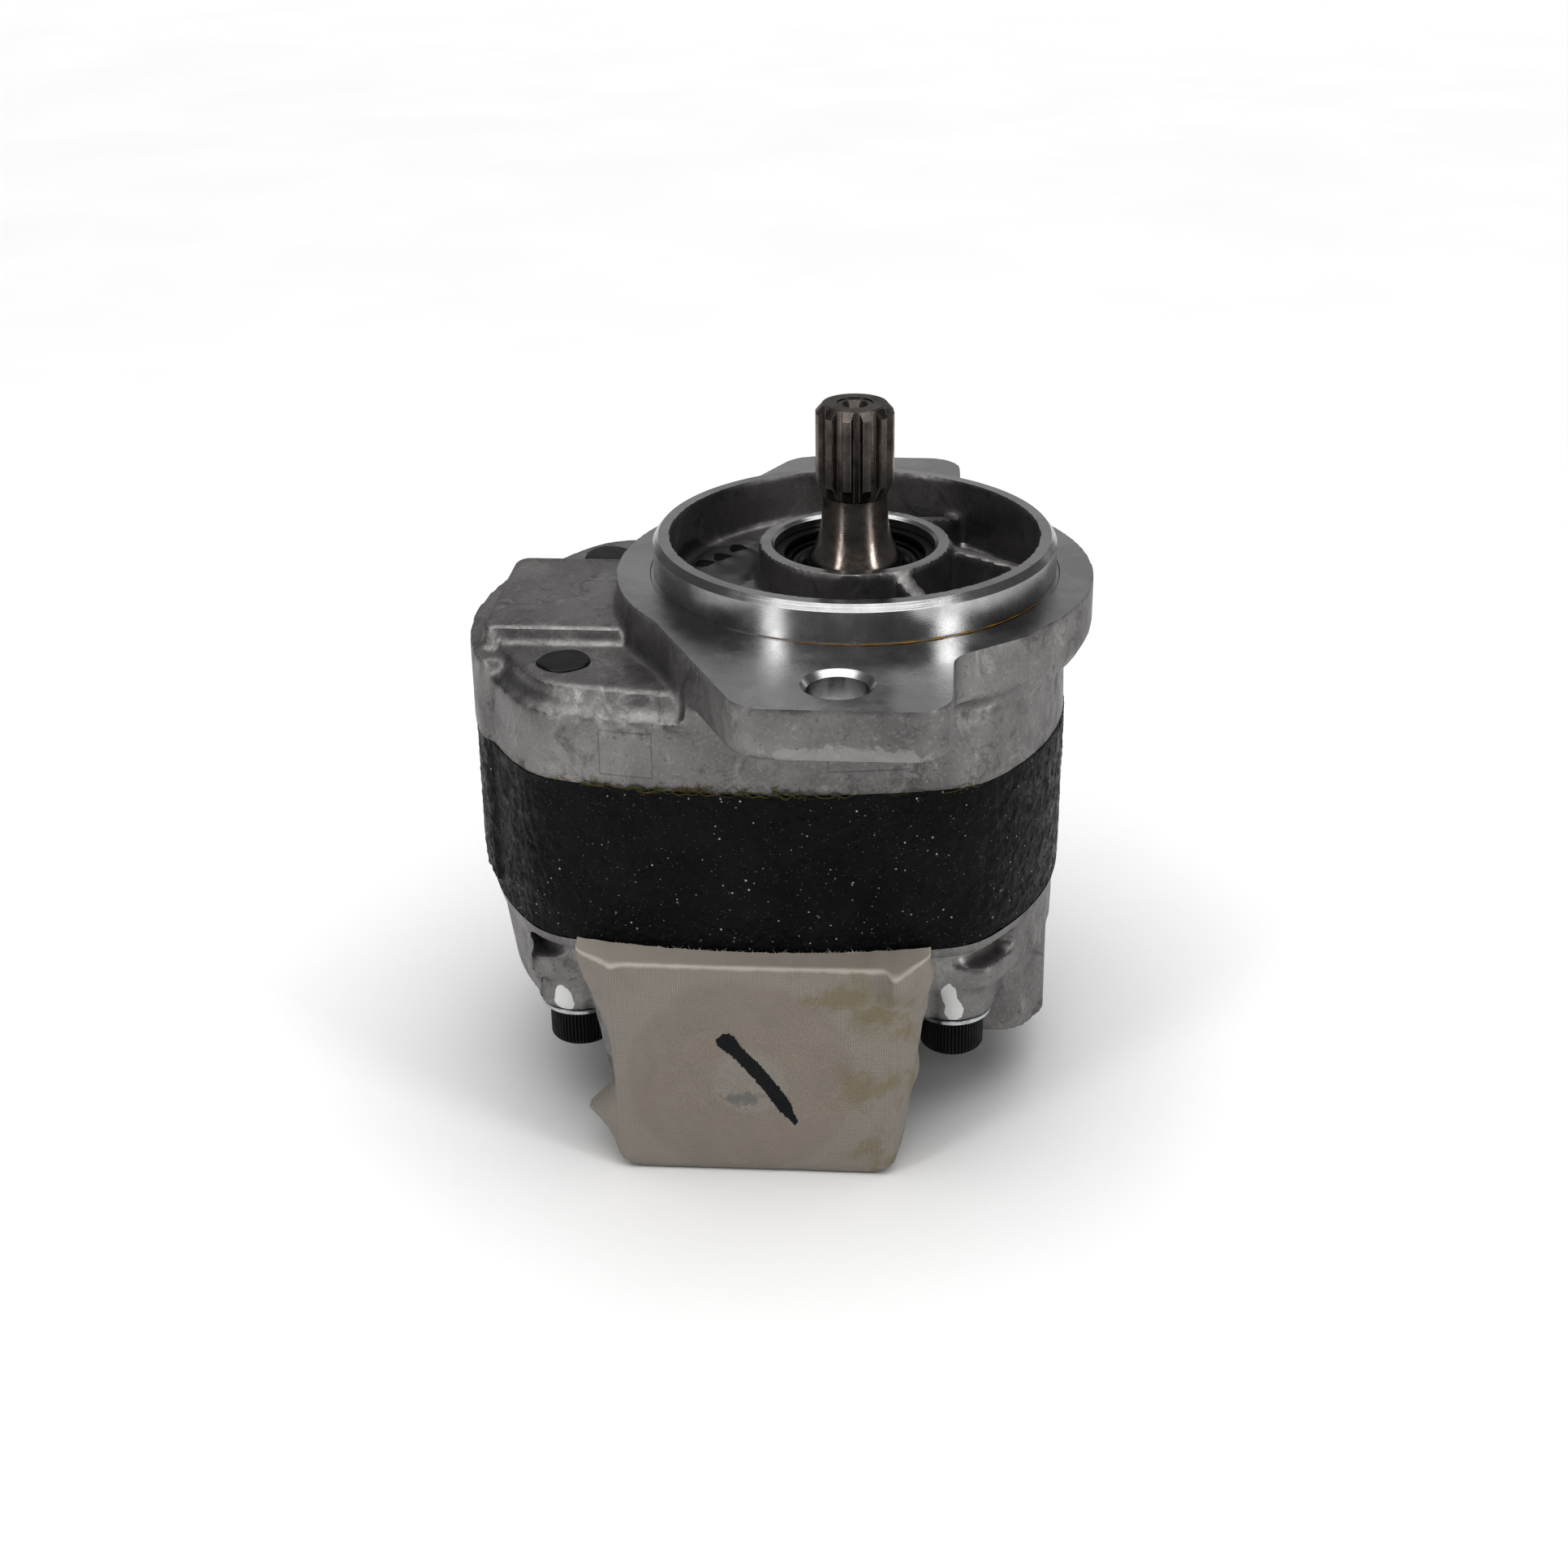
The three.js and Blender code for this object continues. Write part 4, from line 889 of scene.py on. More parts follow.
def front_tools():
    """What the lathe and the drill take off the front casting."""
    deep, chamfer = Z_JOINT - 3, LUG_CHAMFER_R - LUG_HOLE_R
    tools = [
        turned("face_and_pilot", [
            (30, 0), (RIM_R, 0), (PILOT_R, -1.7), (PILOT_R, Z_FACE - 0.25), (PILOT_R + 0.7, Z_FACE - 0.25),
            (PILOT_R + 0.95, Z_FACE), (120, Z_FACE), (120, 6), (30, 6), (30, 0),
        ], 144),
        turned("seal_bore", [
            (0, deep), (13, deep), (13, SEAL_FLOOR), (SEAL_R, SEAL_FLOOR), (SEAL_R, -7.2),
            (SEAL_R + 1.1, -7.2), (SEAL_R + 1.1, -5.6), (SEAL_R, -5.6), (SEAL_R, BOSS_Z - 0.8),
            (SEAL_R + 0.8, BOSS_Z), (BOSS_R + 0.8, BOSS_Z), (BOSS_R + 0.8, 3), (0, 3),
        ], 96),
        brick("joint_face", (-130, -100, Z_JOINT - 10), (90, 100, Z_JOINT)),
    ]
    for y in (-LUG_Y, LUG_Y):
        tools.append(turned("lug_hole", [
            (0, -40), (LUG_HOLE_R, -40), (LUG_HOLE_R, Z_FACE - chamfer), (LUG_CHAMFER_R + 1, Z_FACE + 1),
            (0, Z_FACE + 1),
        ], 64, y=y))
        tools.append(peg("lug_seat", 12.5, -60, Z_FLANGE + 0.15, y=math.copysign(LUG_Y + 0.6, y), sides=64))
    for x in (0, DRIVEN_X):
        tools.append(peg("bush_bore", BUSH_R, deep, Z_JOINT + BUSH_LEN + 0.3, x))
        tools.append(peg("plate_recess", 20.7, deep, Z_JOINT + 1.8, x, sides=64))
    for x, y in BOLTS:
        top = Z_PLATFORM + 1 if x < MID_X else Z_PLATFORM - 1.5
        tools.append(peg("bolt_hole", 5.1, deep, top, x, y, 32))
        if x < MID_X:
            tools.append(peg("seal_dish", 6.3, Z_PLATFORM - 1.6, Z_PLATFORM + 2, x, y, 40))
    for x in (MID_X - 57, MID_X + 57):
        tools.append(peg("dowel_hole", 3.1, deep, Z_JOINT + 8.3, x, sides=32))
    return tools


def block_outline(grow):
    """Straight-sided block under the rear cover's lip."""
    g = grow
    corners = [
        (48 + g, -27, 8), (36 + g, -46.8 - g, 5), (-78.4 - g, -46.8 - g, 1), (-80 - g, -40, 1),
        (-80 - g, 40, 1), (-78.4 - g, 46.8 + g, 1), (36 + g, 46.8 + g, 5), (48 + g, 27, 8),
    ]
    return rounded(corners)


def rear_casting():
    """Overlapping solids of the rear cover before machining."""
    about, top, half = (MID_X, 0), Z_REAR_TOP + 2, PAD_HALF
    ends = dict(near=-36, far=36)
    parts = [
        slab("lip", oblong(-1.2), Z_LIP, top, draft(-1.3), about),
        slab("recess", oblong(-7), Z_BLOCK - 1, Z_LIP + 1),
        slab("block", block_outline(0), Z_TAPER, Z_BLOCK),
        slab("foot", rounded([
            (42, -22, 8), (34, -46, 8), (-66, -46, 8), (-79, -36, 6), (-84, -22, 8),
            (-84, 22, 8), (-79, 36, 6), (-66, 46, 8), (34, 46, 8), (42, 22, 8),
        ]), Z_SEAT, Z_TAPER + 2),
        slab("left_end", clipped(oblong(-1.8), high=-79.8, near=-50, far=50), Z_LIP + 1, Z_SEAT,
             draft(3.2), about),
        slab("right_end", clipped(oblong(-1.6), low=38, **ends), -104, Z_LIP + 1),
        slab("end_boss", rounded([(48.5, -28, 10), (48.5, 28, 10), (10, 28, 0), (10, -28, 0)]),
             -128.3, Z_LIP + 1),
        slab("end_pad", rounded([(50.6, -21, 3), (50.6, 21, 3), (30, 21, 0), (30, -21, 0)]),
             -127.3, Z_LIP - 2),
        upright("port_housing", rounded([
            (MID_X - half - 6.5, Z_LIP + 1, 0), (MID_X - half - 6.5, -103, 8), (MID_X - half + 1, Z_BASE, 6),
            (MID_X + half - 1, Z_BASE, 6), (MID_X + half + 6.5, -103, 8), (MID_X + half + 6.5, Z_LIP + 1, 0),
        ]), -58.5, 58.5),
    ]
    pad = rounded([
        (MID_X - half, Z_REAR_TOP - 0.1, 2), (MID_X - half, Z_BASE, 6), (MID_X + half, Z_BASE, 6),
        (MID_X + half, Z_REAR_TOP - 0.1, 2),
    ])
    for side in (-1, 1):
        parts.append(upright("pad", pad, side * 52.5, side * (PAD_FACE - 0.4)))
        for x, _ in BOLTS[:2]:
            parts.append(peg("bolt_boss", 10.8, Z_SEAT, Z_TAPER, x, side * 36, 40))
    return parts


def rear_tools():
    """What is milled and drilled in the rear casting."""
    tools = [brick("joint_face", (-130, -100, Z_REAR_TOP), (90, 100, Z_REAR_TOP + 10))]
    for side in (-1, 1):
        face = side * PAD_FACE
        low, high = sorted((face - side * 0.6, side * 100))
        tools += [
            brick("pad_face", (-80, low, -170), (40, high, -80)),
            peg_along(
                "spotface", SPOT_R, (MID_X, face - side * 1.2, Z_PORT), (MID_X, side * 80, Z_PORT), "Y"
            ),
            peg_along("port", PORT_R, (MID_X, side * 40, Z_PORT), (MID_X, side * 80, Z_PORT), "Y"),
            peg_along("gallery", 8, (MID_X, side * 16, Z_PORT), (MID_X, side * 41, Z_PORT), "Y", 32),
            peg("way_up", 8, Z_PORT, Z_REAR_TOP + 2, MID_X, side * 21, 32),
        ]
    for x in (0, DRIVEN_X):
        tools.append(peg("bush_bore", BUSH_R, Z_REAR_TOP - BUSH_LEN - 0.3, Z_REAR_TOP + 2, x))
        tools.append(peg("blind", 9, Z_REAR_TOP - BUSH_LEN - 3, Z_REAR_TOP - 4, x, sides=32))
        tools.append(peg("plate_recess", 20.7, Z_REAR_TOP - 1.8, Z_REAR_TOP + 2, x, sides=64))
    for x, y in BOLTS:
        tools.append(peg("bolt_hole", 5.5, -160, Z_REAR_TOP + 2, x, y, 32))
        tools.append(peg("washer_seat", 11, -160, Z_SEAT, x, y, 64))
    for x in (MID_X - 57, MID_X + 57):
        tools.append(peg("dowel_hole", 3.1, Z_REAR_TOP - 8.3, Z_REAR_TOP + 2, x, sides=32))
    tools.append(peg_along("drain", 6.1, (30, 0, -108), (60, 0, -108), "X", 40))
    tools.append(peg_along("drain_seat", 10, (46, 0, -108), (60, 0, -108), "X"))
    return tools


def body_casting():
    """The iron gear body before grinding."""
    low, high = Z_BODY_END - 2, Z_BODY_TOP + 2
    return [
        slab("shell", oblong(-0.45), low, high, draft(-0.6), (MID_X, 0)),
        slab("ear", clipped(oblong(1.4), high=-82.5, near=-32.5, far=32.5), Z_BODY_END + 4, high),
    ]


def body_tools():
    """What is ground and bored in the gear body."""
    low, high = Z_BODY_END - 4, Z_BODY_TOP + 4
    tools = [
        brick("top_face", (-130, -100, Z_BODY_TOP), (90, 100, Z_BODY_TOP + 10)),
        brick("end_face", (-130, -100, Z_BODY_END - 10), (90, 100, Z_BODY_END)),
    ]
    for x in (0, DRIVEN_X):
        tools.append(peg("chamber", CHAMBER_R, low, high, x, sides=96))
        for end, reach in ((Z_BODY_TOP, -1.6), (Z_BODY_END, 1.6)):
            a, b = sorted((end + reach, end - reach))
            tools.append(peg("seal_step", 30.8, a, b, x, sides=64))
    for side in (-1, 1):
        a, b = sorted((side * 10, side * 27))
        tools.append(brick("port_way", (MID_X - 9, a, low), (MID_X + 9, b, high)))
    for x, y in BOLTS:
        tools.append(peg("bolt_hole", 5.5, low, high, x, y, 32))
    for x in (MID_X - 57, MID_X + 57):
        tools.append(peg("dowel_hole", 3.1, low, high, x, sides=32))
    return tools


# ---- rotating group -----------------------------------------------------------------
def gear_outline(teeth=12, tip=24.3, root=17.3, pressure=math.radians(25), backlash=0.2):
    """Involute gear on the pump's pitch, its first tooth along +X."""
    pitch_r = PITCH / MM / 2
    base_r = pitch_r * math.cos(pressure)

    def involute(angle):
        return math.tan(angle) - angle

    wide = math.pi / (2 * teeth) - backlash / (2 * pitch_r) + involute(pressure)
    levels = [base_r + 0.05, 20.2, 21.6, 23, tip]
    half = [wide - involute(math.acos(min(1, base_r / r))) for r in levels]
    out = []
    for i in range(teeth):
        mid, gap = math.tau * i / teeth, math.pi / teeth
        spots = [(root, -gap), (root, -half[0] - 0.035)]
        spots += [(r, -h) for r, h in zip(levels, half)] + [(tip, 0)]
        spots += [(r, h) for r, h in reversed(list(zip(levels, half)))] + [(root, half[0] + 0.035)]
        out += [(r * math.cos(mid + a), r * math.sin(mid + a)) for r, a in spots]
    return out


def spline_outline():
    step, first = math.tau / SPLINE_TEETH, math.radians(-69)
    out = []
    for i in range(SPLINE_TEETH):
        mid = first + i * step
        tooth = [(SPLINE_ROOT, -step / 2), (SPLINE_ROOT, -0.172), (SPLINE_R, -0.108),
                 (SPLINE_R, 0), (SPLINE_R, 0.108), (SPLINE_ROOT, 0.172)]
        out += [(r * math.cos(mid + a), r * math.sin(mid + a)) for r, a in tooth]
    return out


def drive_shaft():
    """The whole drive shaft with its gear, journals, waist and splined end."""
    top, end = SHAFT_TOP, level(SHAFT_LOW.z)
    bar = turned("bar", [
        (0, end), (JOURNAL_R - 1, end), (JOURNAL_R, end + 1), (JOURNAL_R, -8.4), (11.9, -7.5),
        (11.5, -6.3), (10.8, -5.0), (10.0, -3.5), (9.3, -1.6), (8.8, 0.6), (8.4, 3.2), (8.2, 6), (8.05, 9),
        (8.05, top - 0.8), (7.5, top), (0, top),
    ])
    teeth = slab("teeth", spline_outline(), 9.4, top + 0.5)
    apply_modifier(teeth, "BEVEL", width=0.16 * MM, segments=1, limit_method="ANGLE", angle_limit=0.7)
    limit = turned("limit", [
        (0, 9.6), (8.06, 9.8), (8.6, 11.2), (9.4, 12.9), (SPLINE_R + 0.2, 13.6),
        (SPLINE_R + 0.2, top - 2.4), (8.1, top - 0.1), (0, top - 0.1),
    ])
    combine(teeth, limit, "INTERSECT")
    combine(bar, teeth, "UNION")
    gear = slab("gear", gear_outline(), Z_BODY_END + 4.25, Z_BODY_TOP - 4.25)
    combine(bar, gear, "UNION")
    centre = turned("centre", [
        (0, top + 1), (4.6, top + 1), (4.6, top - 0.25), (3.3, top - 0.35), (1.4, top - 3.0),
        (1.4, top - 6), (0, top - 6.8),
    ], 48)
    combine(bar, centre, "DIFFERENCE")
    return bar


# ---- the pieces' operators ----------------------------------------------------------
class PUMP_OT_front_cover(bpy.types.Operator):
    """Cast front cover with its mounting flange, pilot and lugs"""

    bl_idname = "pump.front_cover"
    bl_label = "Front Cover"

    def execute(self, context):
        sizes = context.scene.pump_sizes
        grid = sizes.skin_grid / MM
        cover = cast("flange_cover", front_casting(), grid, sizes.cast_passes, finish("front_skin"))
        machined(cover, front_tools(), finish("turned_face"))
        soften(cover, 28)
        settle(cover, "housing", "cast_aluminium", "front_cover")
        return {"FINISHED"}


class PUMP_OT_gear_body(bpy.types.Operator):
    """Black-painted iron body around the gears"""

    bl_idname = "pump.gear_body"
    bl_label = "Gear Body"

    def execute(self, context):
        sizes = context.scene.pump_sizes
        grid = sizes.body_grid / MM
        body = cast("gear_housing", body_casting(), grid, 3, finish("black_paint"))
        for title, spacing, share in (("pits", 1.5, 1.35), ("swells", 6.0, 0.7)):
            texture = bpy.data.textures.new(title, "CLOUDS")
            texture.noise_scale = spacing * MM
            texture.noise_depth = 2
            apply_modifier(
                body, "DISPLACE", texture=texture, texture_coords="LOCAL", mid_level=0.5,
                strength=sizes.pitting * share,
            )
        machined(body, body_tools(), finish("iron_face"))
        soften(body, 60)
        settle(body, "housing", "black_iron", "gear_body")
        return {"FINISHED"}


class PUMP_OT_rear_cover(bpy.types.Operator):
    """Cast rear cover with the two port pads"""

    bl_idname = "pump.rear_cover"
    bl_label = "Rear Cover"

    def execute(self, context):
        sizes = context.scene.pump_sizes
        grid = sizes.skin_grid / MM
        cover = cast("port_cover", rear_casting(), grid, 3, finish("rear_skin"))
        machined(cover, rear_tools(), finish("milled_face"))
        soften(cover, 30)
        settle(cover, "housing", "cast_aluminium", "rear_cover")
        return {"FINISHED"}


class PUMP_OT_drive_shaft(bpy.types.Operator):
    """Splined drive shaft in one piece with its gear"""

    bl_idname = "pump.drive_shaft"
    bl_label = "Drive Shaft"

    def execute(self, context):
        shaft = drive_shaft()
        shaft.name = shaft.data.name = "splined_shaft"
        coat(shaft, finish("shaft_steel"))
        soften(shaft, 30)
        settle(shaft, "drive", "shaft_steel", "drive_gear_shaft")
        return {"FINISHED"}


class PUMP_OT_shaft_seal(bpy.types.Operator):
    """Shaft seal with its shell, ribbed rubber lip and snap ring"""

    bl_idname = "pump.shaft_seal"
    bl_label = "Shaft Seal"

    def execute(self, context):
        shell = turned("seal_shell", [
            (20.2, -14.6), (20.2, -8.1), (19.9, -7.7), (19.2, -7.6), (16.6, -7.6), (16.2, -7.9),
            (16.2, -8.6), (18.9, -8.6), (18.9, -14.6), (20.2, -14.6),
        ])
        coat(shell, finish("seal_shell"))
        soften(shell, 30)
        settle(shell, "housing", "black_steel", "shaft_seal_case")
        lip = turned("seal_lips", [
            (18.8, -8.7), (17.2, -8.7), (17.0, -8.3), (16.6, -8.3), (16.4, -8.8), (15.9, -8.8),
            (15.7, -8.3), (15.2, -8.2), (14.6, -8.5), (14.2, -8.3), (13.6, -8.8), (12.6, -9.9),
            (12.15, -11), (12.9, -12.2), (15.6, -10.4), (18.8, -10.4), (18.8, -8.7),
        ])
        coat(lip, finish("seal_rubber"))
        soften(lip, 50)
        settle(lip, "housing", "rubber", "shaft_seal_lip")
        ring = turned("snap_ring", [
            (17.8, -7.05), (21.15, -7.05), (21.15, -5.85), (20.9, -5.75), (18.0, -5.75), (17.8, -5.95),
            (17.8, -7.05),
        ])
        combine(ring, brick("gap", (-3, -26, -9), (3, -15, -4)), "DIFFERENCE")
        for x in (-4.6, 4.6):
            ear = peg("ear", 2.0, -7.05, -5.75, x, -17.4, 32)
            combine(ear, peg("eye", 0.9, -8, -5, x, -17.2, 24), "DIFFERENCE")
            combine(ring, ear, "UNION")
        coat(ring, finish("black_oxide"))
        soften(ring, 30)
        settle(ring, "housing", "black_steel", "retaining_ring")
        return {"FINISHED"}


def spread(first, slot, node):
    """Copies the first screw or washer to the other corners."""
    for i, (x, y) in enumerate(BOLTS, 1):
        piece = first
        if i > 1:
            only(first)
            shift = {"value": ((x - BOLTS[0][0]) * MM, (y - BOLTS[0][1]) * MM, 0)}
            bpy.ops.object.duplicate_move(TRANSFORM_OT_translate=shift)
            piece = named(first.name[:-1] + str(i))
        settle(piece, "housing", slot, f"{node}{i}")


class PUMP_OT_screws(bpy.types.Operator):
    """Four cap screws with knurled heads, and their plain washers"""

    bl_idname = "pump.screws"
    bl_label = "Screws and Washers"

    def execute(self, context):
        sizes = context.scene.pump_sizes
        x, y = BOLTS[0]
        under, tip = Z_SEAT - 1.6, level(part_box("bolt_1")[1].z)
        head = level(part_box("bolt_1")[0].z)
        out_r = sizes.head_radius / MM
        ridges = []
        for i in range(sizes.knurls):
            mid, step = math.tau * i / sizes.knurls, math.tau / sizes.knurls
            for r, a in ((out_r - 0.32, -0.5), (out_r, -0.22), (out_r, 0.22)):
                ridges.append((x + r * math.cos(mid + a * step), y + r * math.sin(mid + a * step)))
        screw = slab("cap_screw_1", ridges, head, under)
        limit = turned("limit", [
            (0, head), (out_r - 1.1, head), (out_r - 0.35, head + 0.25), (out_r + 0.2, head + 1.0),
            (out_r + 0.2, under - 1.0), (out_r - 0.4, under - 0.5), (out_r - 0.4, under), (0, under),
        ], 96, x, y)
        combine(screw, limit, "INTERSECT")
        shank = turned("shank", [
            (0, under - 0.5), (4.95, under - 0.5), (4.95, tip - 1), (4, tip), (0, tip),
        ], 40, x, y)
        combine(screw, shank, "UNION")
        corners = [(x + 4.6 * math.cos(t), y + 4.6 * math.sin(t)) for t in
                   (math.radians(60 * i) for i in range(6))]
        combine(screw, slab("socket", corners, head - 1, head + 5), "DIFFERENCE")
        mouth = turned("mouth", [(0, head - 0.5), (5.3, head - 0.5), (4.2, head + 0.6), (0, head + 0.6)],
                       40, x, y)
        combine(screw, mouth, "DIFFERENCE")
        coat(screw, finish("black_oxide"))
        soften(screw, 25)
        washer = turned("plain_washer_1", [
            (5.4, Z_SEAT - 1.5), (9.7, Z_SEAT - 1.5), (10, Z_SEAT - 1.2), (10, Z_SEAT - 0.35),
            (9.7, Z_SEAT - 0.1), (5.4, Z_SEAT - 0.1), (5.4, Z_SEAT - 1.5),
        ], 72, x, y)
        coat(washer, finish("zinc"))
        soften(washer, 30)
        for first, slot, node in ((screw, "black_steel", "bolt_"), (washer, "zinc", "washer_")):
            spread(first, slot, node)
        return {"FINISHED"}


class PUMP_OT_thread_seals(bpy.types.Operator):
    """Blobs of sealant over the two open screw threads"""

    bl_idname = "pump.thread_seals"
    bl_label = "Thread Seals"

    def execute(self, context):
        for i, (x, y) in enumerate([b for b in BOLTS if b[0] < MID_X], 1):
            blob = turned(f"sealant_blob_{i}", [
                (0, Z_PLATFORM - 1.5), (6.0, Z_PLATFORM - 1.5), (6.1, Z_PLATFORM - 0.4),
                (6.5, Z_PLATFORM - 0.05), (6.35, Z_PLATFORM + 0.3), (5.9, Z_PLATFORM + 0.55),
                (5.2, Z_PLATFORM + 0.5), (4.2, Z_PLATFORM + 0.55), (2.4, Z_PLATFORM + 0.62),
                (0, Z_PLATFORM + 0.64),
            ], 72, x, y)
            for vertex in blob.data.vertices:
                flat = Vector((vertex.co.x, vertex.co.y)) - place(x, y, 0).xy
                if vertex.co.z > place(0, 0, Z_PLATFORM - 0.3).z and flat.length > 3 * MM:
                    swell = noise.noise(vertex.co * 260 + Vector((i, 0, 0)))
                    vertex.co.xy += flat.normalized() * swell * 0.5 * MM
                    vertex.co.z += abs(swell) * 0.15 * MM
            coat(blob, finish("thread_sealant"))
            soften(blob, 60)
            settle(blob, "housing", "sealant", f"thread_seal_{i}")
        return {"FINISHED"}


class PUMP_OT_drain_plug(bpy.types.Operator):
    """Hex-socket plug in the end of the rear cover"""

    bl_idname = "pump.drain_plug"
    bl_label = "Drain Plug"

    def execute(self, context):
        plug = turned("end_plug", [
            (0, 34), (5.9, 34), (5.9, 46.1), (8.7, 46.1), (9, 46.4), (9, 49.3), (8.4, 50.1), (0, 50.1),
        ], 64)
        corners = [(3.4 * math.cos(t), 3.4 * math.sin(t)) for t in (math.radians(60 * i) for i in range(6))]
        combine(plug, slab("socket", corners, 45.5, 52), "DIFFERENCE")
        mouth = turned("mouth", [(0, 51), (4.6, 51), (3.3, 49.4), (0, 49.4)], 40)
        combine(plug, mouth, "DIFFERENCE")
        only(plug)
        middle = sum(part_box("drain_plug"), Vector()) / 2
        bpy.ops.transform.rotate(value=math.pi / 2, orient_axis="Y", center_override=place(0, 0, 0))
        plug = named("end_plug")
        centre = sum((Vector(c) for c in plug.bound_box), Vector()) / 8
        if (centre.x - AXIS_X) * (middle.x - AXIS_X) < 0:
            bpy.ops.transform.rotate(value=math.pi, orient_axis="Z", center_override=place(0, 0, 0))
            plug = named("end_plug")
            centre = sum((Vector(c) for c in plug.bound_box), Vector()) / 8
        bpy.ops.transform.translate(value=middle - centre)
        plug = named("end_plug")
        coat(plug, finish("zinc"))
        soften(plug, 30)
        settle(plug, "housing", "zinc", "drain_plug")
        return {"FINISHED"}


# ---- tape ---------------------------------------------------------------------------
# How far the loose side of the tape stands off the pad's edge at each level.
LEFT_FLARE = [(-88, 9.8), (-96, 8.6), (-104, 5.4), (-112, 2.8), (-122, 1.2), (-128, 1.2),
              (-133.4, 8.8), (-137.5, 5.6), (-142, 2.4), (-146, 0.5)]
RIGHT_FLARE = [(-87, 7.6), (-92, 8.8), (-97, 7.6), (-106, 6.2), (-118, 5.2), (-130, 3.6),
               (-139, 1.6), (-146, 0.6)]


def joint_wall(x, side, grow=0.45):
    """Distance from the middle plane of the outline's wall at an x."""
    best = [p for p in oblong(grow, 24) if p[1] * side > 0]
    best.sort()
    for (x0, y0), (x1, y1) in zip(best, best[1:]):
        if x0 <= x <= x1:
            return y0 + (y1 - y0) * (x - x0) / max(1e-6, x1 - x0)
    return best[0][1]


def table(rows, z):
    """Value at a level, straight between the rows of a table that runs downwards."""
    if z >= rows[0][0]:
        return rows[0][1]
    for (z0, v0), (z1, v1) in zip(rows, rows[1:]):
        if z >= z1:
            return v0 + (v1 - v0) * (z0 - z) / (z0 - z1)
    return rows[-1][1]


def tape_point(s, t, side, wrinkle):
    """Where a point of the flat tape lies: s across from the pad's middle, t down from its top."""
    z_fold, z_low, half, corner = -87.95, Z_BASE - 0.1, PAD_HALF + 0.25, 5.5
    ledge = min(1.0, t / TAPE_LEDGE)
    z = z_fold - max(0.0, t - TAPE_LEDGE)
    under = max(0.0, z_low - z)
    z = max(z, z_low)
    tuck = max(0.0, corner - (z - z_low))
    edge = half - (corner - math.sqrt(max(0.0, corner**2 - tuck**2)))
    if under:
        edge = half - corner * 0.8
    leaning = s * -side  # which way is left when the port is seen from the front
    over, depth = abs(s) - half, 0.0
    if over > 0:
        share = over / TAPE_SKIRT
        flare = table(RIGHT_FLARE if leaning > 0 else LEFT_FLARE, z)
        ripple = noise.noise(Vector((s * 0.09, z * 0.16, side * 3.1)))
        x = edge + flare * math.sin(share * math.pi / 2) + ripple * 1.3 * share
        depth = over * math.sqrt(max(0.2, 1 - (flare / TAPE_SKIRT * 0.8) ** 2))
        depth += 0.9 * share * noise.noise(Vector((s * 0.12 + 9, z * 0.3, side)))
        x = math.copysign(x, leaning)
    else:
        x = leaning * edge / half
    y = PAD_FACE + 0.5 - depth
    # a pleat stands up along each fold near the top
    for fold, tall, reach, inner, outer in ((-half, 1.0, 8.0, 1.7, 1.7), (half - 1, 4.2, 6.5, 0.9, 4.0)):
        away = leaning - fold
        near = math.exp(-((away / (inner if away < 0 else outer)) ** 2))
        y += tall * near * math.exp(-(((z_fold - z) / reach) ** 2)) * ledge
    if over <= 0 and ledge >= 1:
        r = math.hypot(x, z - Z_PORT)
        y -= 0.3 * min(1.0, max(0.0, (17.5 - r) / 4.5))
        lines = noise.noise(Vector((x * 0.05, z * 0.02, side))) * 0.6
        lines += noise.noise(Vector((x * 0.16, z * 0.07, side * 7))) * 0.35
        y += (wrinkle / MM) * lines * min(1.0, (half - abs(s)) / 6)
    if ledge < 1:
        wall = joint_wall(MID_X + x, 1, 0.35) + 0.12
        y = wall + max(0.0, y - wall) * ledge
        climb = 0.9 + 0.25 * noise.noise(Vector((s * 0.35, 4, side)))
        z += climb * (1 - ledge) ** 1.5 + 0.12 * noise.noise(Vector((s * 1.7, 0, side)))
    elif under > 0:
        y -= under * 0.98
        z = z_low - 0.1 - 0.45 * min(1.0, under)
    elif z - z_low < 1.6:
        y -= 0.5 * (1 - (z - z_low) / 1.6) ** 2
    return place(MID_X + x, side * y, z)


TAPE_SKIRT, TAPE_TUCK, TAPE_LEDGE = 11.5, 7.0, 6.0
TAPE_DROP = TAPE_LEDGE - 87.95 - Z_BASE + 0.1 + TAPE_TUCK


def tape_sheet(name, side, material, step, wrinkle):
    """The stretched cloth over one port pad, as a grid with its flat size in its own map."""
    half, drop = PAD_HALF + 0.25 + TAPE_SKIRT, TAPE_DROP
    columns, rows = round(2 * half * MM / step), round(drop * MM / step)
    points, flat, faces = [], [], []
    for j in range(rows + 1):
        for i in range(columns + 1):
            s, t = -half + 2 * half * i / columns, drop * j / rows
            points.append(tape_point(s, t, side, wrinkle))
            flat.append((s * MM, t * MM))
    for j in range(rows):
        for i in range(columns):
            a = j * (columns + 1) + i
            quad = (a, a + columns + 1, a + columns + 2, a + 1)
            faces.append(quad)
    mesh = bpy.data.meshes.new(name)
    mesh.from_pydata(points, [], faces)
    cloth = mesh.uv_layers.new(name="cloth")
    for loop in mesh.loops:
        cloth.data[loop.index].uv = flat[loop.vertex_index]
    tape = bpy.data.objects.new(name, mesh)
    bpy.context.collection.objects.link(tape)
    mesh.materials.append(material)
    apply_modifier(tape, "SMOOTH", factor=0.5, iterations=2)
    apply_modifier(tape, "SOLIDIFY", thickness=0.22 * MM, offset=-1.0)
    soften(tape, 80)
    return tape


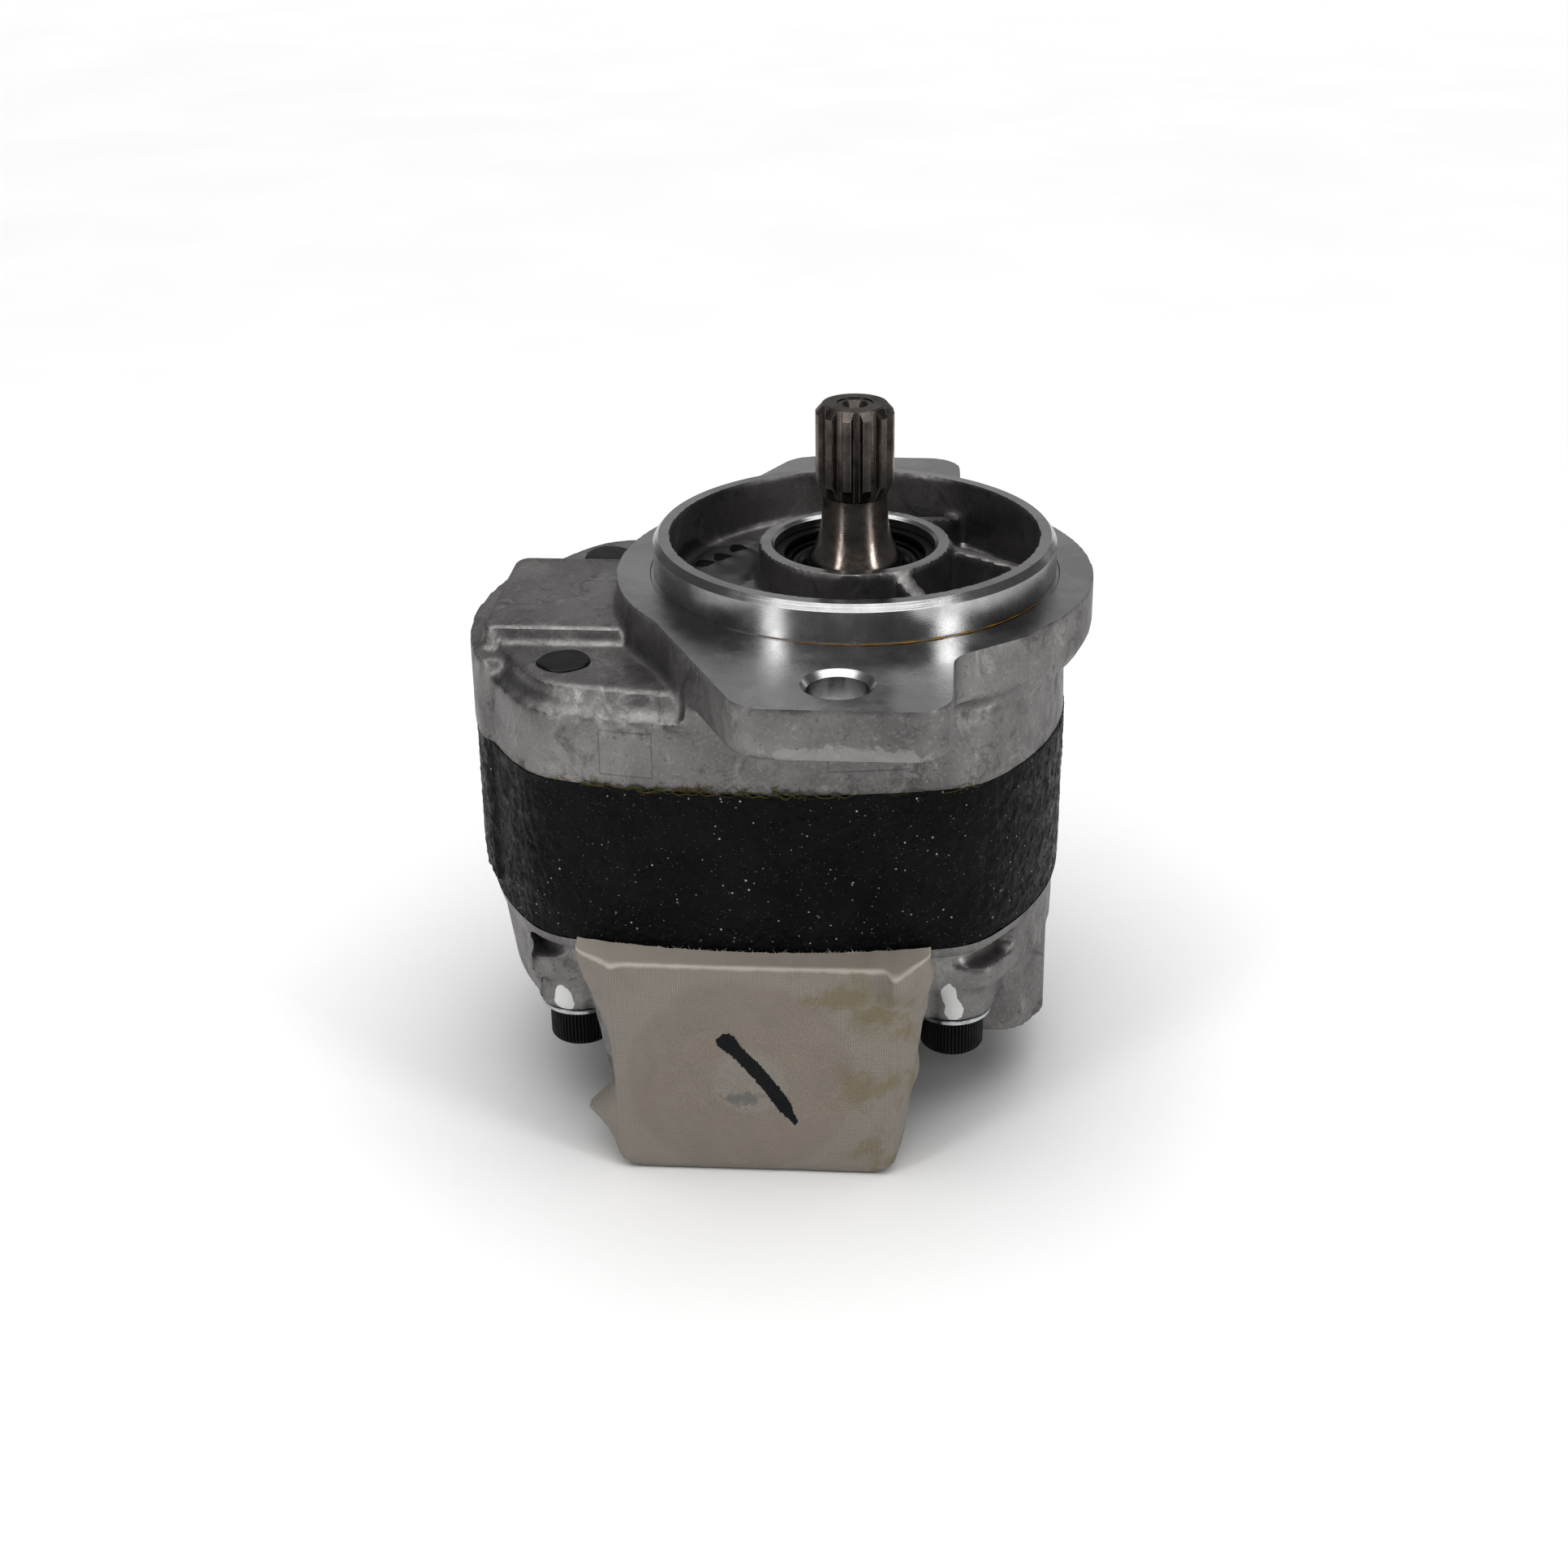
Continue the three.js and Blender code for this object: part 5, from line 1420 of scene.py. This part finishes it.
def frayed_edge(name, side, seed):
    """Short loose threads along the torn top of the tape."""
    draw = random.Random(seed)
    points, faces = [], []
    for _ in range(170):
        s = draw.uniform(-PAD_HALF, PAD_HALF)
        root = tape_point(s, 0.3, side, 0)
        tall = draw.uniform(0.25, 0.75) if draw.random() < 0.85 else draw.uniform(0.8, 1.5)
        lean = Vector((draw.uniform(-0.7, 0.7), side * draw.uniform(0.0, 0.25), 1)).normalized()
        curl = Vector((draw.uniform(-0.35, 0.35), side * draw.uniform(0.0, 0.3), 0))
        thick = draw.uniform(0.05, 0.13)
        start = len(points)
        for k in range(4):
            share = k / 3
            centre = root + (lean * tall * share + curl * tall * share**2) * MM
            for a in range(3):
                turn = math.tau * a / 3
                r = thick * (1 - 0.6 * share) * MM
                points.append(centre + Vector((math.cos(turn) * r, math.sin(turn) * r, 0)))
            if k:
                for a in range(3):
                    b, top, low = (a + 1) % 3, start + 3 * k, start + 3 * (k - 1)
                    faces.append((low + a, low + b, top + b, top + a))
        faces.append((start + 2, start + 1, start))
        faces.append((start + 9, start + 10, start + 11))
    mesh = bpy.data.meshes.new(name)
    mesh.from_pydata(points, [], faces)
    fray = bpy.data.objects.new(name, mesh)
    bpy.context.collection.objects.link(fray)
    mesh.materials.append(finish("frayed_thread"))
    soften(fray, 60)
    return fray


class PUMP_OT_port_tapes(bpy.types.Operator):
    """Cloth tape stretched over both port pads, with torn edges"""

    bl_idname = "pump.port_tapes"
    bl_label = "Port Tapes"

    def execute(self, context):
        sizes = context.scene.pump_sizes
        for end, side in (("front", -1), ("back", 1)):
            tape = tape_sheet(
                f"cloth_tape_{end}", side, finish(f"tape_{end}"), sizes.tape_step, sizes.wrinkle
            )
            settle(tape, "housing", "tape", f"port_tape_{end}")
            fray = frayed_edge(f"tape_fray_{end}", side, 11 + side)
            settle(fray, "housing", "tape")
        return {"FINISHED"}


class PUMP_OT_joint_sealant(bpy.types.Operator):
    """Strings and smears of dried sealant squeezed out of the front joint"""

    bl_idname = "pump.joint_sealant"
    bl_label = "Joint Sealant"

    def execute(self, context):
        draw = random.Random(5)
        strands = []
        for i in range(34):
            side = -1 if i < 24 else 1
            start = draw.uniform(-64, -2) if i < 18 else draw.uniform(-70, 30)
            length = draw.uniform(3, 11)
            strands.append((side, start, length, draw.uniform(0.1, 0.24), draw.random() * 50))
        fresh()
        curve = bpy.data.curves.new("sealant_line", "CURVE")
        curve.dimensions = "3D"
        curve.bevel_depth = 1.0 * MM
        curve.bevel_resolution = 2
        curve.use_fill_caps = True
        for side, start, length, thick, phase in strands:
            line = curve.splines.new("POLY")
            count = max(6, round(length * 2))
            line.points.add(count - 1)
            for k, point in enumerate(line.points):
                share = k / (count - 1)
                x = start + length * share
                wave = noise.noise(Vector((x * 0.35, phase, side)))
                lift = noise.noise(Vector((x * 0.6, phase + 20, side)))
                spot = place(
                    x, joint_wall(x, side) + side * (0.05 + 0.25 * abs(lift)), Z_JOINT + 0.15 + wave * 1.5
                )
                point.co = (*spot, 1)
                point.radius = (
                    thick * (0.5 + 0.9 * abs(math.sin(k * 1.3 + phase)))
                    * math.sin(math.pi * (0.08 + 0.84 * share))
                )
        bead = bpy.data.objects.new("joint_sealant", curve)
        bpy.context.collection.objects.link(bead)
        only(bead)
        bpy.ops.object.convert(target="MESH")
        bead = named("joint_sealant")
        coat(bead, finish("dried_sealant"))
        soften(bead, 60)
        settle(bead, "housing", "sealant")
        return {"FINISHED"}


class PUMP_OT_oil_line(bpy.types.Operator):
    """Thin amber oil left in the corner at the pilot's foot"""

    bl_idname = "pump.oil_line"
    bl_label = "Oil Line"

    def execute(self, context):
        steps, start, end = 90, math.radians(-112), math.radians(-22)
        fresh()
        curve = bpy.data.curves.new("oil_line", "CURVE")
        curve.dimensions = "3D"
        curve.bevel_depth = 0.2 * MM
        curve.bevel_resolution = 2
        curve.use_fill_caps = True
        line = curve.splines.new("POLY")
        line.points.add(steps)
        for k, point in enumerate(line.points):
            turn = start + (end - start) * k / steps
            r = PILOT_R + 0.12
            point.co = (*place(r * math.cos(turn), r * math.sin(turn), Z_FACE + 0.02), 1)
            point.radius = math.sin(math.pi * (0.03 + 0.94 * k / steps)) * (0.8 + 0.4 * math.sin(k * 0.7))
        film = bpy.data.objects.new("oil_line", curve)
        bpy.context.collection.objects.link(film)
        only(film)
        bpy.ops.object.convert(target="MESH")
        film = named("oil_line")
        coat(film, finish("oil_film"))
        soften(film, 60)
        settle(film, "housing", "sealant")
        return {"FINISHED"}


class PUMP_OT_inner_pieces(bpy.types.Operator):
    """Finishes of the hidden pieces, which keep their CAD shape"""

    bl_idname = "pump.inner_pieces"
    bl_label = "Inner Pieces"

    def execute(self, context):
        kept = {
            "gear_steel": ["driven_gear_shaft", "dowel_front_1", "dowel_front_2", "dowel_rear_1",
                           "dowel_rear_2"],
            "bronze": ["bush_front_drive", "bush_front_driven", "bush_rear_drive", "bush_rear_driven",
                       "wear_plate_front", "wear_plate_rear"],
            "ring_rubber": ["plate_seal_front", "plate_seal_rear", "section_seal_front",
                            "section_seal_rear"],
            "backup_plastic": ["plate_backup_front", "plate_backup_rear"],
            "zinc": ["garter_spring"],
        }
        for finish_name, nodes in kept.items():
            for node in nodes:
                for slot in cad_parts[node].material_slots:
                    slot.material = finish(finish_name)
        return {"FINISHED"}


# ---- stage --------------------------------------------------------------------------
def softbox(name, where, towards, size, power):
    """A rectangular studio light."""
    fresh()
    bpy.ops.object.light_add(type="AREA", location=where)
    lamp = bpy.context.object
    lamp.name = name
    lamp.data.shape = "RECTANGLE"
    lamp.data.size, lamp.data.size_y = size
    lamp.data.energy = power
    lamp.visible_camera = False
    lamp.rotation_euler = (Vector(towards) - Vector(where)).to_track_quat("-Z", "Y").to_euler()
    return lamp


class PUMP_OT_stage(bpy.types.Operator):
    """Pale floor, soft studio light and the camera"""

    bl_idname = "pump.stage"
    bl_label = "Stage"

    def execute(self, context):
        fresh()
        bpy.ops.mesh.primitive_grid_add(x_subdivisions=8, y_subdivisions=8, size=16)
        floor = named("floor")
        coat(floor, finish("floor"))
        scene = bpy.context.scene
        world = bpy.data.worlds.new("studio")
        world.use_nodes = True
        air, out = world.node_tree.nodes["Background"], world.node_tree.nodes["World Output"]
        air.inputs["Color"].default_value = (1, 1, 1, 1)
        air.inputs["Strength"].default_value = 0.24
        # the room gives little light, yet shows pale behind the floor
        seen = world.node_tree.nodes.new("ShaderNodeBackground")
        seen.inputs["Color"].default_value = (1, 1, 1, 1)
        seen.inputs["Strength"].default_value = 0.9
        path = world.node_tree.nodes.new("ShaderNodeLightPath")
        mix = world.node_tree.nodes.new("ShaderNodeMixShader")
        for source, socket in (
            (path.outputs["Is Camera Ray"], mix.inputs[0]),
            (air.outputs[0], mix.inputs[1]),
            (seen.outputs[0], mix.inputs[2]),
            (mix.outputs[0], out.inputs["Surface"]),
        ):
            world.node_tree.links.new(source, socket)
        scene.world = world
        pilot = place(0, 0, -5)
        for name, turn, width, power in (("left_box", -42, 0.2, 2.7), ("right_box", 56, 0.22, 3.4)):
            way = Vector((math.sin(math.radians(turn)), -math.cos(math.radians(turn)), 0))
            softbox(name, pilot + way * 1.0 + Vector((0, 0, 0.3)), pilot, (width, 0.9), power)
        fresh()
        bpy.ops.object.light_add(type="SUN", location=(0, 0, 2.5))
        sky = bpy.context.object
        sky.name = "overhead"
        sky.data.energy = OVERHEAD_POWER
        sky.data.angle = math.radians(OVERHEAD_SPREAD)
        softbox("back_box", (0.2, 3.2, 1.5), pilot, (6, 2), 13.5)
        fresh()
        bpy.ops.object.camera_add(location=place(*EYE))
        camera = bpy.context.object
        camera.name = "camera"
        camera.rotation_euler = (math.radians(EYE_TILT), 0, math.radians(EYE_TURN))
        camera.data.lens = LENS
        camera.data.sensor_width = SENSOR
        camera.data.shift_x, camera.data.shift_y = LENS_SHIFT
        camera.data.clip_start = 0.01
        scene.camera = camera
        scene.view_settings.view_transform = "Standard"
        scene.view_settings.gamma = VIEW_GAMMA
        return {"FINISHED"}


class PUMP_PT_panel(bpy.types.Panel):
    """Lists the pump's makers, sizes and colours"""

    bl_label = "Gear Pump"
    bl_idname = "PUMP_PT_panel"
    bl_space_type = "VIEW_3D"
    bl_region_type = "UI"
    bl_category = "Gear Pump"

    def draw(self, context):
        for maker in MAKER_CLASSES:
            self.layout.operator(maker.bl_idname)
        for group in (context.scene.pump_sizes, context.scene.pump_colours):
            column = self.layout.column()
            for key in group.bl_rna.properties.keys():
                if key not in ("rna_type", "name"):
                    column.prop(group, key)


MAKER_CLASSES = (
    PUMP_OT_stage, PUMP_OT_front_cover, PUMP_OT_gear_body, PUMP_OT_rear_cover,
    PUMP_OT_drive_shaft, PUMP_OT_shaft_seal, PUMP_OT_screws, PUMP_OT_thread_seals,
    PUMP_OT_drain_plug, PUMP_OT_port_tapes, PUMP_OT_joint_sealant, PUMP_OT_oil_line,
    PUMP_OT_inner_pieces,
)
CLASSES = (PumpSizes, PumpColours, *MAKER_CLASSES, PUMP_PT_panel)


def register():
    for item in CLASSES:
        bpy.utils.register_class(item)
    bpy.types.Scene.pump_sizes = PointerProperty(type=PumpSizes)
    bpy.types.Scene.pump_colours = PointerProperty(type=PumpColours)


def unregister():
    del bpy.types.Scene.pump_colours
    del bpy.types.Scene.pump_sizes
    for item in reversed(CLASSES):
        bpy.utils.unregister_class(item)


def main():
    register()
    for maker in MAKER_CLASSES:
        group, call = maker.bl_idname.split(".")
        getattr(getattr(bpy.ops, group), call)()


if __name__ == "__main__":
    main()
